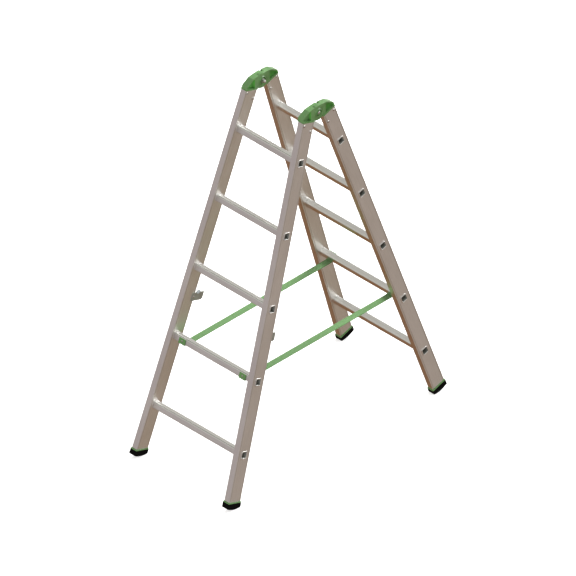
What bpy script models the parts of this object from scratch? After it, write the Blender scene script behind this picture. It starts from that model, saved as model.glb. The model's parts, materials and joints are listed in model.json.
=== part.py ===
"""Double-sided aluminium rung step ladder, standing open.

Metres, +Z up. X runs along the rungs, Y is the walking direction, and the
origin is on the ground under the middle of the hinge axis. The front frame is
on the -Y side, the rear frame on the +Y side.

Each frame is built in its own flat coordinates and hung from an empty on the
hinge axis: local X along the rungs, local Y through the depth of the stiles,
local Z up along the frame. Places on a frame are given by
    down   distance down the frame from the hinge axis, so local Z = -down
    depth  distance outward from the closing plane, so local Y = -/+ depth
"""
import bpy
import bmesh
import math
from mathutils import Matrix

MM = 0.001

# ---------------------------------------------------------------- dimensions
OPENING_HALF = math.radians(18.5)   # each frame leans this far from the vertical
LEAN_SIN, LEAN_COS = math.sin(OPENING_HALF), math.cos(OPENING_HALF)
TAPER = 0.0612                      # outward run of a stile per metre down the frame
GAP = 0.3 * MM                      # clearance between touching pieces
SIDES = (("left", -1), ("right", +1))

STILE_W = 25.0 * MM                 # across, along X
STILE_D = 60.0 * MM                 # through the frame
STILE_WALL = 1.8 * MM
STILE_R = 1.3 * MM
STILE_BORE_R = 0.9 * MM
STILE_TOP = 35.0 * MM               # down
STILE_END = 1490.5 * MM             # down
STILE_OUT0 = 154.1 * MM             # X of the outer face at the height of the hinge axis
DEPTH_MID = 43.3 * MM               # depth of the stile's and the rungs' middle

RUNG_FIRST = 190.5 * MM             # down
RUNG_PITCH = 280.0 * MM
RUNG_COUNT = 5
RUNG_SIZE = 25.0 * MM
RUNG_HALF = RUNG_SIZE / 2
RUNG_WALL = 1.4 * MM
RUNG_R = 2.4 * MM
RUNG_TREAD_R = 6.0 * MM             # the outer top edge
COLLAR_OVER = 2.8 * MM              # swaged collar round each rung end
COLLAR_T = 1.7 * MM
COLLAR_BEVEL = 0.5 * MM

RIVETS = ((45.5 * MM, 63.0 * MM), (71.0 * MM, 24.0 * MM))   # hinge rivets (down, depth)
LUG_RIVET = (876.0 * MM, 20.0 * MM)                         # (down, depth)
RIVET_R = 2.4 * MM
RIVET_HEAD_R = 5.2 * MM
RIVET_HEAD_H = 2.3 * MM
SMALL_SIDES = 8                     # sides of rivets, screws and their holes
THROUGH_REACH = 30.0 * MM           # half length of a cutter that clears a whole stile

STRAP_RUNG = 3                      # index of the rung the straps join
STRAP_DOWN = RUNG_FIRST + STRAP_RUNG * RUNG_PITCH
STRAP_X = 152.0 * MM
SCREW_R = 1.6 * MM
SCREW_DOWN = STRAP_DOWN + 2.2 * MM

# Sole under a foot: (depth, drop below the stile end) of three points on its convex underside
SOLE_IN = (10.5 * MM, 22.0 * MM)
SOLE_MID = (45.0 * MM, 29.0 * MM)
SOLE_OUT = (76.1 * MM, 25.0 * MM)
SOLE_FLAT = 10.0 * MM               # depth taken by the ground facet, from the inner end


def outer_x(down):
    return STILE_OUT0 + TAPER * down


def inner_x(down):
    return outer_x(down) - STILE_W


def mid_x(down):
    return outer_x(down) - STILE_W / 2


def stile_lean(side, down=0.0):
    """X shift, as a function of local Z, that follows a stile; zero at the given place."""
    return lambda z: side * TAPER * (-z - down)


def sole_drop(depth):
    """Drop of the sole below the stile end: the parabola through its three points."""
    (x0, y0), (x1, y1), (x2, y2) = SOLE_IN, SOLE_MID, SOLE_OUT
    return (
        y0 * (depth - x1) * (depth - x2) / ((x0 - x1) * (x0 - x2))
        + y1 * (depth - x0) * (depth - x2) / ((x1 - x0) * (x1 - x2))
        + y2 * (depth - x0) * (depth - x1) / ((x2 - x0) * (x2 - x1))
    )


def below_hinge(depth, down):
    """Vertical distance of a place on a leaning frame below the hinge axis."""
    return down * LEAN_COS - depth * LEAN_SIN


# The ground facet cuts the sole level at the higher of its two ends.
FACET_ENDS = (SOLE_IN[0], SOLE_IN[0] + SOLE_FLAT)
HINGE_Z = min(below_hinge(depth, STILE_END + sole_drop(depth)) for depth in FACET_ENDS)

# ------------------------------------------------------------------ clean up
for old_object in list(bpy.data.objects):
    bpy.data.objects.remove(old_object, do_unlink=True)


# ----------------------------------------------------------------- materials
def material(name, rgb, roughness, metallic=0.0):
    mat = bpy.data.materials.new(name)
    mat.use_nodes = True
    shader = mat.node_tree.nodes["Principled BSDF"]
    shader.inputs["Base Color"].default_value = (*rgb, 1.0)
    shader.inputs["Roughness"].default_value = roughness
    shader.inputs["Metallic"].default_value = metallic
    mat.diffuse_color = (*rgb, 1.0)
    return mat


ALU_STILE = material("aluminium_stile", rgb=(0.34, 0.31, 0.28), roughness=0.42, metallic=1.0)
ALU_RUNG = material("aluminium_rung", rgb=(0.42, 0.42, 0.39), roughness=0.38, metallic=1.0)
GREEN_PLASTIC = material("green_plastic", rgb=(0.10, 0.27, 0.075), roughness=0.45)
GREEN_WEB = material("green_webbing", rgb=(0.20, 0.46, 0.17), roughness=0.85)
BLACK_RUBBER = material("black_rubber", rgb=(0.012, 0.012, 0.012), roughness=0.75)
ZINC = material("zinc_steel", rgb=(0.62, 0.62, 0.60), roughness=0.3, metallic=1.0)
GREY_PLATE = material("grey_plate", rgb=(0.22, 0.22, 0.20), roughness=0.5, metallic=0.6)
PALE_PLASTIC = material("pale_plastic", rgb=(0.60, 0.66, 0.68), roughness=0.5)


# --------------------------------------------------------------- mesh makers
# Cutters and added lumps are made without a material; they are used up by a boolean.
def dress(ob, mat, smooth_angle=35.0):
    """Give an object its one material and smooth shading with sharp edges."""
    mesh = ob.data
    mesh.materials.clear()
    mesh.materials.append(mat)
    mesh.shade_smooth()
    mesh.set_sharp_from_angle(angle=math.radians(smooth_angle))
    return ob


def rings_body(name, rings, mat=None, cyclic=False, smooth_angle=35.0):
    """Skin over rings of equal length; a cyclic set is a tube, an open one is capped."""
    bm = bmesh.new()
    rows = [[bm.verts.new(point) for point in ring] for ring in rings]
    count = len(rows[0])
    pairs = list(zip(rows, rows[1:]))
    if cyclic:
        pairs.append((rows[-1], rows[0]))
    for row, following in pairs:
        for i in range(count):
            j = (i + 1) % count
            bm.faces.new((row[i], row[j], following[j], following[i]))
    if not cyclic:
        bm.faces.new(list(reversed(rows[0])))
        bm.faces.new(rows[-1])
    bmesh.ops.remove_doubles(bm, verts=bm.verts, dist=1e-7)
    bmesh.ops.recalc_face_normals(bm, faces=bm.faces)
    mesh = bpy.data.meshes.new(name)
    bm.to_mesh(mesh)
    bm.free()
    ob = bpy.data.objects.new(name, mesh)
    bpy.context.scene.collection.objects.link(ob)
    if mat:
        dress(ob, mat, smooth_angle)
    return ob


def prism_x(name, outline, x0, x1, mat=None, lean=lambda z: 0.0):
    """Prism along X over an outline of (y, z); lean(z) shifts it along X."""
    rings = [[(x + lean(z), y, z) for y, z in outline] for x in (x0, x1)]
    return rings_body(name, rings, mat)


def circle(radius, count, centre):
    points = []
    for i in range(count):
        angle = 2 * math.pi * i / count
        points.append((centre[0] + radius * math.cos(angle), centre[1] + radius * math.sin(angle)))
    return points


def turned_x(name, profile, count, mat=None, centre=(0.0, 0.0), lean=lambda z: 0.0, cyclic=False):
    """Body turned about a line along X; profile is (x, radius), centre is (y, z)."""
    rings = [
        [(x + lean(z), y, z) for y, z in circle(radius, count, centre)] for x, radius in profile
    ]
    return rings_body(name, rings, mat, cyclic, smooth_angle=40.0)


def turned_y(name, profile, count, mat=None, centre=(0.0, 0.0)):
    """Body turned about a line along Y; profile is (y, radius), centre is (x, z)."""
    rings = [[(x, y, z) for x, z in circle(radius, count, centre)] for y, radius in profile]
    return rings_body(name, rings, mat, smooth_angle=40.0)


def rounded_rect(half_u, half_v, radii, steps):
    """Rectangle about the origin, anticlockwise from its (+, +) corner.

    radii and steps are per corner in that order.
    """
    points = []
    signs = ((1, 1), (-1, 1), (-1, -1), (1, -1))
    for quarter, (sign_u, sign_v) in enumerate(signs):
        radius, count = radii[quarter], steps[quarter]
        centre_u, centre_v = sign_u * (half_u - radius), sign_v * (half_v - radius)
        for i in range(count + 1):
            angle = math.radians(90.0 * quarter + 90.0 * i / count)
            points.append(
                (centre_u + radius * math.cos(angle), centre_v + radius * math.sin(angle))
            )
    return points


def boolean(target, tool, operation):
    """Apply a boolean at once and use up its tool."""
    modifier = target.modifiers.new(operation.lower(), "BOOLEAN")
    modifier.operation = operation
    modifier.solver = "EXACT"
    modifier.object = tool
    bpy.context.view_layer.update()
    depsgraph = bpy.context.evaluated_depsgraph_get()
    result = bpy.data.meshes.new_from_object(target.evaluated_get(depsgraph))
    target.modifiers.clear()
    old = target.data
    target.data = result
    bpy.data.meshes.remove(old)
    result.name = target.name
    bpy.data.objects.remove(tool, do_unlink=True)


def cut(target, tool):
    boolean(target, tool, "DIFFERENCE")


def join(target, tool):
    boolean(target, tool, "UNION")


# -------------------------------------------------------------------- frames
class Frame:
    """One of the two leaning frames; out is -1 for the front and +1 for the rear."""

    def __init__(self, label, out):
        self.label = label
        self.out = out
        self.pivot = bpy.data.objects.new(f"{label}_frame_axis", None)
        self.pivot.location = (0.0, 0.0, HINGE_Z)
        self.pivot.rotation_euler = (OPENING_HALF * out, 0.0, 0.0)
        bpy.context.scene.collection.objects.link(self.pivot)

    def y(self, depth):
        return self.out * depth

    def outline(self, points):
        """(depth, local z) points as (local y, local z)."""
        return [(self.y(depth), z) for depth, z in points]

    def hang(self, ob):
        ob.parent = self.pivot


FRONT = Frame("front", -1)
REAR = Frame("rear", +1)


def stile_ring(frame, side, down, grow, radius, steps):
    """Level ring of the stile's outline, grown on all sides."""
    points = rounded_rect(STILE_W / 2 + grow, STILE_D / 2 + grow, [radius] * 4, [steps] * 4)
    return [(side * mid_x(down) + u, frame.y(DEPTH_MID) + v, -down) for u, v in points]


def drill_x(body, frame, x, reach, radius, down, depth):
    """Clearance hole along X for a pin of this radius, reaching each way from x."""
    profile = ((x - reach, radius + GAP), (x + reach, radius + GAP))
    cut(body, turned_x("cut", profile, SMALL_SIDES, centre=(frame.y(depth), -down)))


def drill_hinge_rivets(body, frame, side):
    for down, depth in RIVETS:
        drill_x(body, frame, side * mid_x(down), THROUGH_REACH, RIVET_R, down, depth)


def drill_strap_screw(body, frame, side, depth0, depth1):
    """Clearance hole for a strap screw, between two depths."""
    profile = [(frame.y(depth), SCREW_R + GAP) for depth in (depth0, depth1)]
    cut(body, turned_y("cut", profile, SMALL_SIDES, centre=(side * STRAP_X, -SCREW_DOWN)))


# ---------------------------------------------------------- stiles and rungs
def rung_section(frame, grow, down):
    """Rung outline (local y, local z): square with a large radius on its outer top edge."""
    half = RUNG_HALF + grow
    radii = [RUNG_TREAD_R + grow] + [RUNG_R + grow] * 3
    points = rounded_rect(half, half, radii, (3, 2, 2, 2))
    return frame.outline([(DEPTH_MID + u, -down + v) for u, v in points[::frame.out]])


def make_stile(frame, side_name, side):
    """Rectangular tube with openings for the rungs and holes for the rivets."""
    outer, bore = (0.0, STILE_R, 2), (-STILE_WALL, STILE_BORE_R, 2)
    stations = ((STILE_TOP, outer), (STILE_END, outer), (STILE_END, bore), (STILE_TOP, bore))
    body = rings_body(
        f"{frame.label}_stile_{side_name}",
        [stile_ring(frame, side, down, *section) for down, section in stations],
        ALU_STILE,
        cyclic=True,
    )
    for i in range(RUNG_COUNT):
        down = RUNG_FIRST + i * RUNG_PITCH
        x = side * mid_x(down)
        section = rung_section(frame, GAP, down)
        cut(body, prism_x("cut", section, x - THROUGH_REACH, x + THROUGH_REACH))
    drill_hinge_rivets(body, frame, side)
    if frame is FRONT:
        x = side * (inner_x(LUG_RIVET[0]) + STILE_WALL / 2)
        drill_x(body, frame, x, 4 * MM, RIVET_R, *LUG_RIVET)
    frame.hang(dress(body, ALU_STILE))


def make_rung(frame, index):
    """Square tube through both stiles, with a collar against each stile's outer face."""
    down = RUNG_FIRST + index * RUNG_PITCH
    tube = rung_section(frame, 0.0, down)
    bore = rung_section(frame, -RUNG_WALL, down)
    collar = rung_section(frame, COLLAR_OVER, down)
    seat, face = GAP, GAP + COLLAR_T
    # one end, from inside the mouth to the seat: section, distance beyond the stile's outer face
    end = (
        (bore, face - COLLAR_BEVEL),
        (tube, face),
        (collar, face - COLLAR_BEVEL),
        (collar, seat),
        (tube, seat),
    )
    rings = [
        [(side * (outer_x(-z) + beyond), y, z) for y, z in section]
        for side, stations in ((-1, end), (+1, end[::-1]))
        for section, beyond in stations
    ]
    body = rings_body(f"{frame.label}_rung_{index + 1}", rings, ALU_RUNG, cyclic=True)
    if index == STRAP_RUNG:
        for _, side in SIDES:
            drill_strap_screw(body, frame, side, DEPTH_MID + 6 * MM, DEPTH_MID + 16 * MM)
    frame.hang(dress(body, ALU_RUNG))


# -------------------------------------------------------------------- hinges
# The moulding is drawn as the rear one, in (depth, local z). "Level" points are measured
# from the hinge axis, outward and straight up, as the ladder stands open.
def to_local(y, z):
    """Level point to the rear frame's own leaning coordinates."""
    return (y * LEAN_COS + z * LEAN_SIN, -y * LEAN_SIN + z * LEAN_COS)


HINGE_X = 141.5 * MM                # middle of a hinge
HINGE_HALF_W = 12.5 * MM
KNUCKLE_R = 32.0 * MM
HOLLOW_R = KNUCKLE_R + GAP          # round the neighbouring knuckle
KNUCKLE_START = GAP / 2             # X where the knuckle side begins
PLAIN_SIDE_END = 1.0 * MM           # X where the side without a knuckle ends
BOLT_R = 4.0 * MM
BORE_R = 4.3 * MM
BOSS_R = 15.5 * MM
BOSS_DRAFT = 0.6 * MM
BOSS_H = 2.0 * MM

BASE_T = 5.6 * MM
BASE_OVER = 0.6 * MM                # base plate overhang beside the stile
BASE_IN, BASE_OUT = 12.7 * MM, 75.0 * MM
BASE_LOW = -STILE_TOP + GAP
BASE_HIGH = -STILE_TOP + BASE_T

SPIGOT_LEN = 52.0 * MM
SPIGOT_ROOT = 3.0 * MM              # overlap into the base plate
SPIGOT_LEAD = 4.0 * MM              # length of the narrowing tip
SPIGOT_SHRINK = 3.0 * MM            # narrowing of the tip on each face
SPIGOT_R = 1.2 * MM

# outer edge of the arched rim, level points
CROWN_MID = (0.0, 29.5 * MM)
CROWN = (17.0 * MM, 28.6 * MM)
SHOULDER = (46.5 * MM, 25.3 * MM)
# the rim from the base's outer end up to the shoulder, local points
BASE_AND_ARCH = [
    (BASE_IN, BASE_LOW),
    (BASE_OUT, BASE_LOW),
    (BASE_OUT, -19.5 * MM),
    (74.3 * MM, -16.4 * MM),
    to_local(*SHOULDER),
]

RIM_T = 5.0 * MM
WEB_Y = 36.5 * MM                   # level distance of the pocket's top inner corner
POCKET_SIDES = (                    # X range of the cutter for each pocket
    (4.0 * MM, HINGE_HALF_W + 5 * MM),
    (-HINGE_HALF_W - 5 * MM, -3.0 * MM),
)


def crown_z(y):
    """Height of the rim's outer edge at level distance y from the hinge axis."""
    (y0, z0), (y1, z1), (y2, z2) = CROWN_MID, CROWN, SHOULDER
    if y <= y1:
        return z0 + (z1 - z0) * (y - y0) / (y1 - y0)
    return z1 + (z2 - z1) * (y - y1) / (y2 - y1)


POCKET = (                          # local points
    (29.45 * MM, BASE_HIGH),
    to_local(WEB_Y, crown_z(WEB_Y) - RIM_T),
    (49.0 * MM, 5.2 * MM),
    (70.2 * MM, -19.5 * MM),
    (70.2 * MM, BASE_HIGH),
)


def crown_meets(radius):
    """Level distance at which a circle about the hinge axis comes out through the crown."""
    low, high = 0.0, radius
    for _ in range(60):
        y = (low + high) / 2
        if math.hypot(y, crown_z(y)) < radius:
            low = y
        else:
            high = y
    return low


def arc_points(radius, first, last, steps):
    """Local points on a circle about the hinge axis, between two level angles."""
    points = []
    for i in range(steps + 1):
        angle = first + (last - first) * i / steps
        points.append(to_local(radius * math.cos(angle), radius * math.sin(angle)))
    return points


def hollow_points(first, steps):
    """Arc round the neighbouring knuckle to the base's inner end, its chords kept clear."""
    last = OPENING_HALF - math.acos(BASE_IN / HOLLOW_R)
    return arc_points(HOLLOW_R / math.cos((last - first) / steps / 2), first, last, steps)


def make_moulding(name):
    """Rear hinge moulding about its own middle, without its spigot; the knuckle is on +X."""
    y = crown_meets(HOLLOW_R)
    plain_side = BASE_AND_ARCH + [to_local(*CROWN)]
    plain_side += hollow_points(math.atan2(crown_z(y), y), 10)
    body = prism_x(name, plain_side, -HINGE_HALF_W, PLAIN_SIDE_END, GREEN_PLASTIC)

    y = crown_meets(KNUCKLE_R)
    knuckle_side = BASE_AND_ARCH + [to_local(*CROWN), to_local(*CROWN_MID)]
    knuckle_side += arc_points(
        KNUCKLE_R,
        first=math.atan2(crown_z(y), -y),
        last=2 * math.pi - math.acos(BASE_IN / KNUCKLE_R) + OPENING_HALF,
        steps=16,
    )
    join(body, prism_x("add", knuckle_side, KNUCKLE_START, HINGE_HALF_W))

    for x0, x1 in POCKET_SIDES:
        cut(body, prism_x("cut", POCKET, x0, x1))

    boss = ((HINGE_HALF_W - 2 * MM, BOSS_R), (HINGE_HALF_W + BOSS_H, BOSS_R - BOSS_DRAFT))
    join(body, turned_x("add", boss, 24))
    cut(body, turned_x("cut", ((-5 * MM, BORE_R), (HINGE_HALF_W + 9 * MM, BORE_R)), 12))
    return body


def make_base_plate(frame, side):
    """Plate over the whole end of the stile, following the taper."""
    points = [(BASE_IN, BASE_LOW), (BASE_OUT, BASE_LOW), (BASE_OUT, BASE_HIGH)]
    points += hollow_points(OPENING_HALF - math.asin(-BASE_HIGH / HOLLOW_R), 3)
    x0, x1 = sorted((side * (inner_x(0.0) - BASE_OVER), side * (outer_x(0.0) + BASE_OVER)))
    return prism_x("add", frame.outline(points), x0, x1, lean=stile_lean(side))


def make_spigot(frame, side):
    """Plug down into the stile, following the taper."""
    inset = STILE_WALL + GAP
    stations = (                    # down, inset from the stile's outside
        (STILE_TOP - SPIGOT_ROOT, inset),
        (STILE_TOP + SPIGOT_LEN - SPIGOT_LEAD, inset),
        (STILE_TOP + SPIGOT_LEN, inset + SPIGOT_SHRINK),
    )
    rings = [stile_ring(frame, side, down, -inward, SPIGOT_R, 1) for down, inward in stations]
    return rings_body("add", rings)


def make_hinge_half(frame, side_name, side):
    body = make_moulding(f"{frame.label}_hinge_{side_name}")
    if frame is FRONT:
        body.data.transform(Matrix.Rotation(math.pi, 4, "Z"))
    body.data.transform(Matrix.Translation((side * HINGE_X, 0.0, 0.0)))
    join(body, make_base_plate(frame, side))
    join(body, make_spigot(frame, side))
    drill_hinge_rivets(body, frame, side)
    frame.hang(dress(body, GREEN_PLASTIC))


# --------------------------------------------------------------- hinge bolts
HEAD_SEAT = HINGE_X + HINGE_HALF_W + BOSS_H + GAP       # against the outer boss face
WASHER_SEAT = HINGE_X - HINGE_HALF_W - BOSS_H - GAP     # against the inner boss face
WASHER_T = 1.6 * MM
WASHER_R = 8.5 * MM
NUT_FACE = WASHER_SEAT - WASHER_T - 2 * GAP
NUT_R = 7.5 * MM                    # across the corners, halved
NUT_BORE_DEPTH = 7.2 * MM
NUT_BORE_R = (BORE_R + 0.1 * MM) / math.cos(math.pi / 6)    # to the corners of the bore


def mirrored(side, profile):
    """(x, radius) profile of the right-hand piece, moved to the given side."""
    return [(side * x, radius) for x, radius in profile]


def make_bolt(side_name, side):
    """Hinge bolt, its domed head facing outward."""
    profile = (
        (HEAD_SEAT + 2.4 * MM, 2.0 * MM),
        (HEAD_SEAT + 1.9 * MM, 4.0 * MM),
        (HEAD_SEAT + 0.9 * MM, 5.5 * MM),
        (HEAD_SEAT, 5.8 * MM),
        (HEAD_SEAT, BOLT_R),
        (NUT_FACE - 6.5 * MM, BOLT_R),
    )
    return turned_x(f"hinge_bolt_{side_name}", mirrored(side, profile), 12, ZINC)


def make_washer(side_name, side):
    profile = (
        (WASHER_SEAT, BORE_R),
        (WASHER_SEAT, WASHER_R),
        (WASHER_SEAT - WASHER_T, WASHER_R),
        (WASHER_SEAT - WASHER_T, BORE_R),
    )
    name = f"hinge_washer_{side_name}"
    return turned_x(name, mirrored(side, profile), 16, ZINC, cyclic=True)


def make_cap_nut(side_name, side):
    """Hexagon, then a six-sided dome, over a blind bore."""
    profile = (
        (NUT_FACE, NUT_BORE_R),
        (NUT_FACE, NUT_R * 0.93),
        (NUT_FACE - 0.6 * MM, NUT_R),
        (NUT_FACE - 5.6 * MM, NUT_R),
        (NUT_FACE - 6.4 * MM, NUT_R * 0.86),
        (NUT_FACE - 9.5 * MM, NUT_R * 0.70),
        (NUT_FACE - 11.6 * MM, NUT_R * 0.36),
    )
    nut = turned_x(f"hinge_cap_nut_{side_name}", mirrored(side, profile), 6, ZINC)
    # push the cap over the mouth inward, to become the floor of the bore
    bm = bmesh.new()
    bm.from_mesh(nut.data)
    caps = [face for face in bm.faces if len(face.verts) == 6]
    mouth = max(caps, key=lambda face: side * face.calc_center_median().x)
    floor = bmesh.ops.extrude_discrete_faces(bm, faces=[mouth])["faces"]
    for face in floor:
        for vert in face.verts:
            vert.co.x = side * (NUT_FACE - NUT_BORE_DEPTH)
    bmesh.ops.recalc_face_normals(bm, faces=bm.faces)
    bm.to_mesh(nut.data)
    bm.free()
    return dress(nut, ZINC, smooth_angle=30.0)


def make_hinge_bolt(side_name, side):
    for make in (make_bolt, make_washer, make_cap_nut):
        make(side_name, side).location = (0.0, 0.0, HINGE_Z)


# -------------------------------------------------------------------- rivets
def rivet_head(seat, direction):
    """(x, radius) profile of a domed head, from its tip to the shank."""
    return [
        (seat + direction * RIVET_HEAD_H, RIVET_HEAD_R * 0.42),
        (seat + direction * RIVET_HEAD_H * 0.62, RIVET_HEAD_R * 0.82),
        (seat, RIVET_HEAD_R),
        (seat, RIVET_R),
    ]


def make_hinge_rivet(frame, side_name, side, index):
    """Rivet right through the stile and spigot, headed at both ends."""
    down, depth = RIVETS[index]
    outer_head = rivet_head(side * (outer_x(down) + GAP), side)
    inner_head = rivet_head(side * (inner_x(down) - GAP), -side)
    frame.hang(turned_x(
        f"{frame.label}_hinge_rivet_{side_name}_{index + 1}", outer_head + inner_head[::-1],
        SMALL_SIDES, ZINC, (frame.y(depth), -down), stile_lean(side, down),
    ))


# ---------------------------------------------------------------------- feet
FOOT_OVER = 2.8 * MM                # foot collar overhang round the stile
FOOT_COLLAR = 5.0 * MM
FOOT_PLUG = 38.0 * MM
PLUG_LEAD = 3.0 * MM                # length of the narrowing tip
PLUG_SHRINK = 1.5 * MM              # narrowing of the tip on each face
PLUG_R = 0.8 * MM
FOOT_COLLAR_R = STILE_R + FOOT_OVER * 0.6
SOLE_ARC_STEPS = 9


def make_foot_plug(frame, side_name, side):
    """Plug up into the stile's end, with a collar below it."""
    inset = STILE_WALL + GAP
    stations = (                    # down, growth of the stile outline, corner radius
        (STILE_END - FOOT_PLUG, -inset - PLUG_SHRINK, PLUG_R),
        (STILE_END - FOOT_PLUG + PLUG_LEAD, -inset, PLUG_R),
        (STILE_END + GAP, -inset, PLUG_R),
        (STILE_END + GAP, FOOT_OVER, FOOT_COLLAR_R),
        (STILE_END + FOOT_COLLAR, FOOT_OVER, FOOT_COLLAR_R),
    )
    rings = [stile_ring(frame, side, *station, steps=2) for station in stations]
    frame.hang(rings_body(f"{frame.label}_foot_plug_{side_name}", rings, GREEN_PLASTIC))


def make_foot_sole(frame, side_name, side):
    """Rubber block under the collar: a level facet at its inner end, then the convex arc."""
    top = STILE_END + FOOT_COLLAR + GAP
    points = [(SOLE_OUT[0], -top), (SOLE_IN[0], -top)]
    points += [(depth, -(HINGE_Z + depth * LEAN_SIN) / LEAN_COS) for depth in FACET_ENDS]
    arc_start = FACET_ENDS[1]
    for i in range(1, SOLE_ARC_STEPS + 1):
        depth = arc_start + (SOLE_OUT[0] - arc_start) * i / SOLE_ARC_STEPS
        points.append((depth, -(STILE_END + sole_drop(depth))))
    middle, half = side * mid_x(0.0), STILE_W / 2 + FOOT_OVER
    frame.hang(prism_x(
        f"{frame.label}_foot_sole_{side_name}", frame.outline(points),
        middle - half, middle + half, BLACK_RUBBER, stile_lean(side),
    ))


# -------------------------------------------------------------------- straps
STRAP_W = 28.0 * MM
STRAP_T = 2.2 * MM
STRAP_CENTRE_GAP = 0.3 * MM
STRAP_EDGE_R = 0.5 * MM
STRAP_TAIL = 0.4 * MM               # strap end beyond its axis, outward
STRAP_TAIL_BEVEL = 1.0 * MM
STRAP_TAIL_THIN = 0.7               # thickness of the bevelled end, as a share of the strap's

# axis of a strap half, just inward of and below the rung's lower inner edge
PIVOT_DEPTH = DEPTH_MID - RUNG_HALF - 1.5 * MM
PIVOT_DOWN = STRAP_DOWN + RUNG_HALF + 1.4 * MM
PIVOT_Y = PIVOT_DOWN * LEAN_SIN + PIVOT_DEPTH * LEAN_COS
PIVOT_Z = HINGE_Z - below_hinge(PIVOT_DEPTH, PIVOT_DOWN)

CLIP_W = 31.0 * MM
CLIP_T = 3.0 * MM                   # over the rung's outer face
CLIP_FLOOR_T = 2.4 * MM             # under the rung
CLIP_RISE = 7.5 * MM                # top of the clip above the rung's middle
CLIP_TOP_BEVEL = 1.0 * MM
CLIP_LOW_BEVEL = 2.0 * MM
CLIP_FACE = DEPTH_MID + RUNG_HALF + GAP
CLIP_IN = DEPTH_MID - RUNG_HALF + 2.6 * MM      # depth of the floor's inner end


def make_strap_half(frame, side_name, side):
    """Half of one webbing strap: flat level band from the rung to the middle."""
    axis = bpy.data.objects.new(f"{frame.label}_strap_axis_{side_name}", None)
    axis.location = (side * STRAP_X, frame.out * PIVOT_Y, PIVOT_Z)
    bpy.context.scene.collection.objects.link(axis)
    stations = (                    # distance outward from the axis, half thickness
        (STRAP_TAIL, STRAP_T / 2 * STRAP_TAIL_THIN),
        (STRAP_TAIL - STRAP_TAIL_BEVEL, STRAP_T / 2),
        (STRAP_CENTRE_GAP / 2 - PIVOT_Y, STRAP_T / 2),
    )
    rings = []
    for outward, half_t in stations:
        section = rounded_rect(STRAP_W / 2, half_t, [STRAP_EDGE_R] * 4, [1] * 4)
        rings.append([(x, frame.out * outward, z) for x, z in section])
    band = rings_body(f"{frame.label}_strap_{side_name}", rings, GREEN_WEB)
    band.parent = axis


def make_clip(frame, side_name, side):
    """Moulded L over the rung's outer face and underside that holds the strap's end."""
    top = STRAP_DOWN - CLIP_RISE
    rung_under = STRAP_DOWN + RUNG_HALF + GAP
    bottom = rung_under + CLIP_FLOOR_T
    outside = CLIP_FACE + CLIP_T
    points = [
        (CLIP_FACE, -top),
        (outside - CLIP_TOP_BEVEL, -top),
        (outside, -top - CLIP_TOP_BEVEL),
        (outside, -bottom + CLIP_LOW_BEVEL),
        (outside - CLIP_LOW_BEVEL, -bottom),
        (CLIP_IN, -bottom),
        (CLIP_IN, -rung_under),
        (CLIP_FACE, -rung_under),
    ]
    middle = side * STRAP_X
    clip = prism_x(
        f"{frame.label}_strap_clip_{side_name}", frame.outline(points),
        middle - CLIP_W / 2, middle + CLIP_W / 2, GREEN_PLASTIC,
    )
    drill_strap_screw(clip, frame, side, CLIP_FACE - 2 * MM, CLIP_FACE + 6 * MM)
    frame.hang(dress(clip, GREEN_PLASTIC))


def make_strap_screw(frame, side_name, side):
    """Domed screw through the clip into the rung's outer wall."""
    seat = CLIP_FACE + CLIP_T + GAP
    rung_face = DEPTH_MID + RUNG_HALF
    profile = (                     # depth, radius
        (seat + 1.5 * MM, 1.6 * MM),
        (seat + 0.8 * MM, 2.9 * MM),
        (seat, 3.1 * MM),
        (seat, SCREW_R),
        (rung_face - 5 * MM, SCREW_R),
        (rung_face - 6 * MM, SCREW_R * 0.5),
    )
    frame.hang(turned_y(
        f"{frame.label}_strap_screw_{side_name}",
        [(frame.y(depth), radius) for depth, radius in profile],
        SMALL_SIDES, ZINC, (side * STRAP_X, -SCREW_DOWN),
    ))


# ------------------------------------------------------------ transport lugs
LUG_TOP = 859.5 * MM                # down
LUG_BOTTOM = 893.0 * MM             # down
LUG_ROOT = 27.0 * MM                # depth of the end on the front stile
LUG_REACH = -31.0 * MM              # depth of the free end, beyond the closing plane
LUG_TOP_BEVEL = 1.5 * MM
LUG_LOW_BEVEL = 6.0 * MM
LUG_T = 2.5 * MM
HUMP_DEPTH, HUMP_R = 1.0 * MM, 9.5 * MM
HUMP_STEPS = 6
PAD_DOWN = LUG_TOP - 3.0 * MM       # the pad sits in the hump
PAD_PIN_R = 3.0 * MM


def lug_face(down):
    """X of the seat for pieces on the lug's inward face, on the right-hand side."""
    return inner_x(down) - GAP - LUG_T - GAP


def make_lug_plate(side_name, side):
    """Plate on the front stile's inner face that laps the rear stile when folded."""
    points = [(LUG_ROOT, -LUG_TOP)]
    for i in range(HUMP_STEPS + 1):
        angle = math.pi * i / HUMP_STEPS
        points.append(
            (HUMP_DEPTH + HUMP_R * math.cos(angle), -LUG_TOP + HUMP_R * math.sin(angle))
        )
    points += [
        (LUG_REACH + LUG_TOP_BEVEL, -LUG_TOP),
        (LUG_REACH, -LUG_TOP - LUG_TOP_BEVEL),
        (LUG_REACH, -LUG_BOTTOM + LUG_LOW_BEVEL),
        (LUG_REACH + LUG_LOW_BEVEL, -LUG_BOTTOM),
        (LUG_ROOT, -LUG_BOTTOM),
    ]
    near = inner_x(0.0) - GAP
    x0, x1 = sorted((side * near, side * (near - LUG_T)))
    plate = prism_x(
        f"transport_lug_{side_name}", FRONT.outline(points), x0, x1, GREY_PLATE, stile_lean(side)
    )
    for down, depth, radius in ((*LUG_RIVET, RIVET_R), (PAD_DOWN, HUMP_DEPTH, PAD_PIN_R)):
        x = side * (inner_x(down) - GAP - LUG_T / 2)
        drill_x(plate, FRONT, x, 6 * MM, radius, down, depth)
    FRONT.hang(dress(plate, GREY_PLATE))


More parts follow.
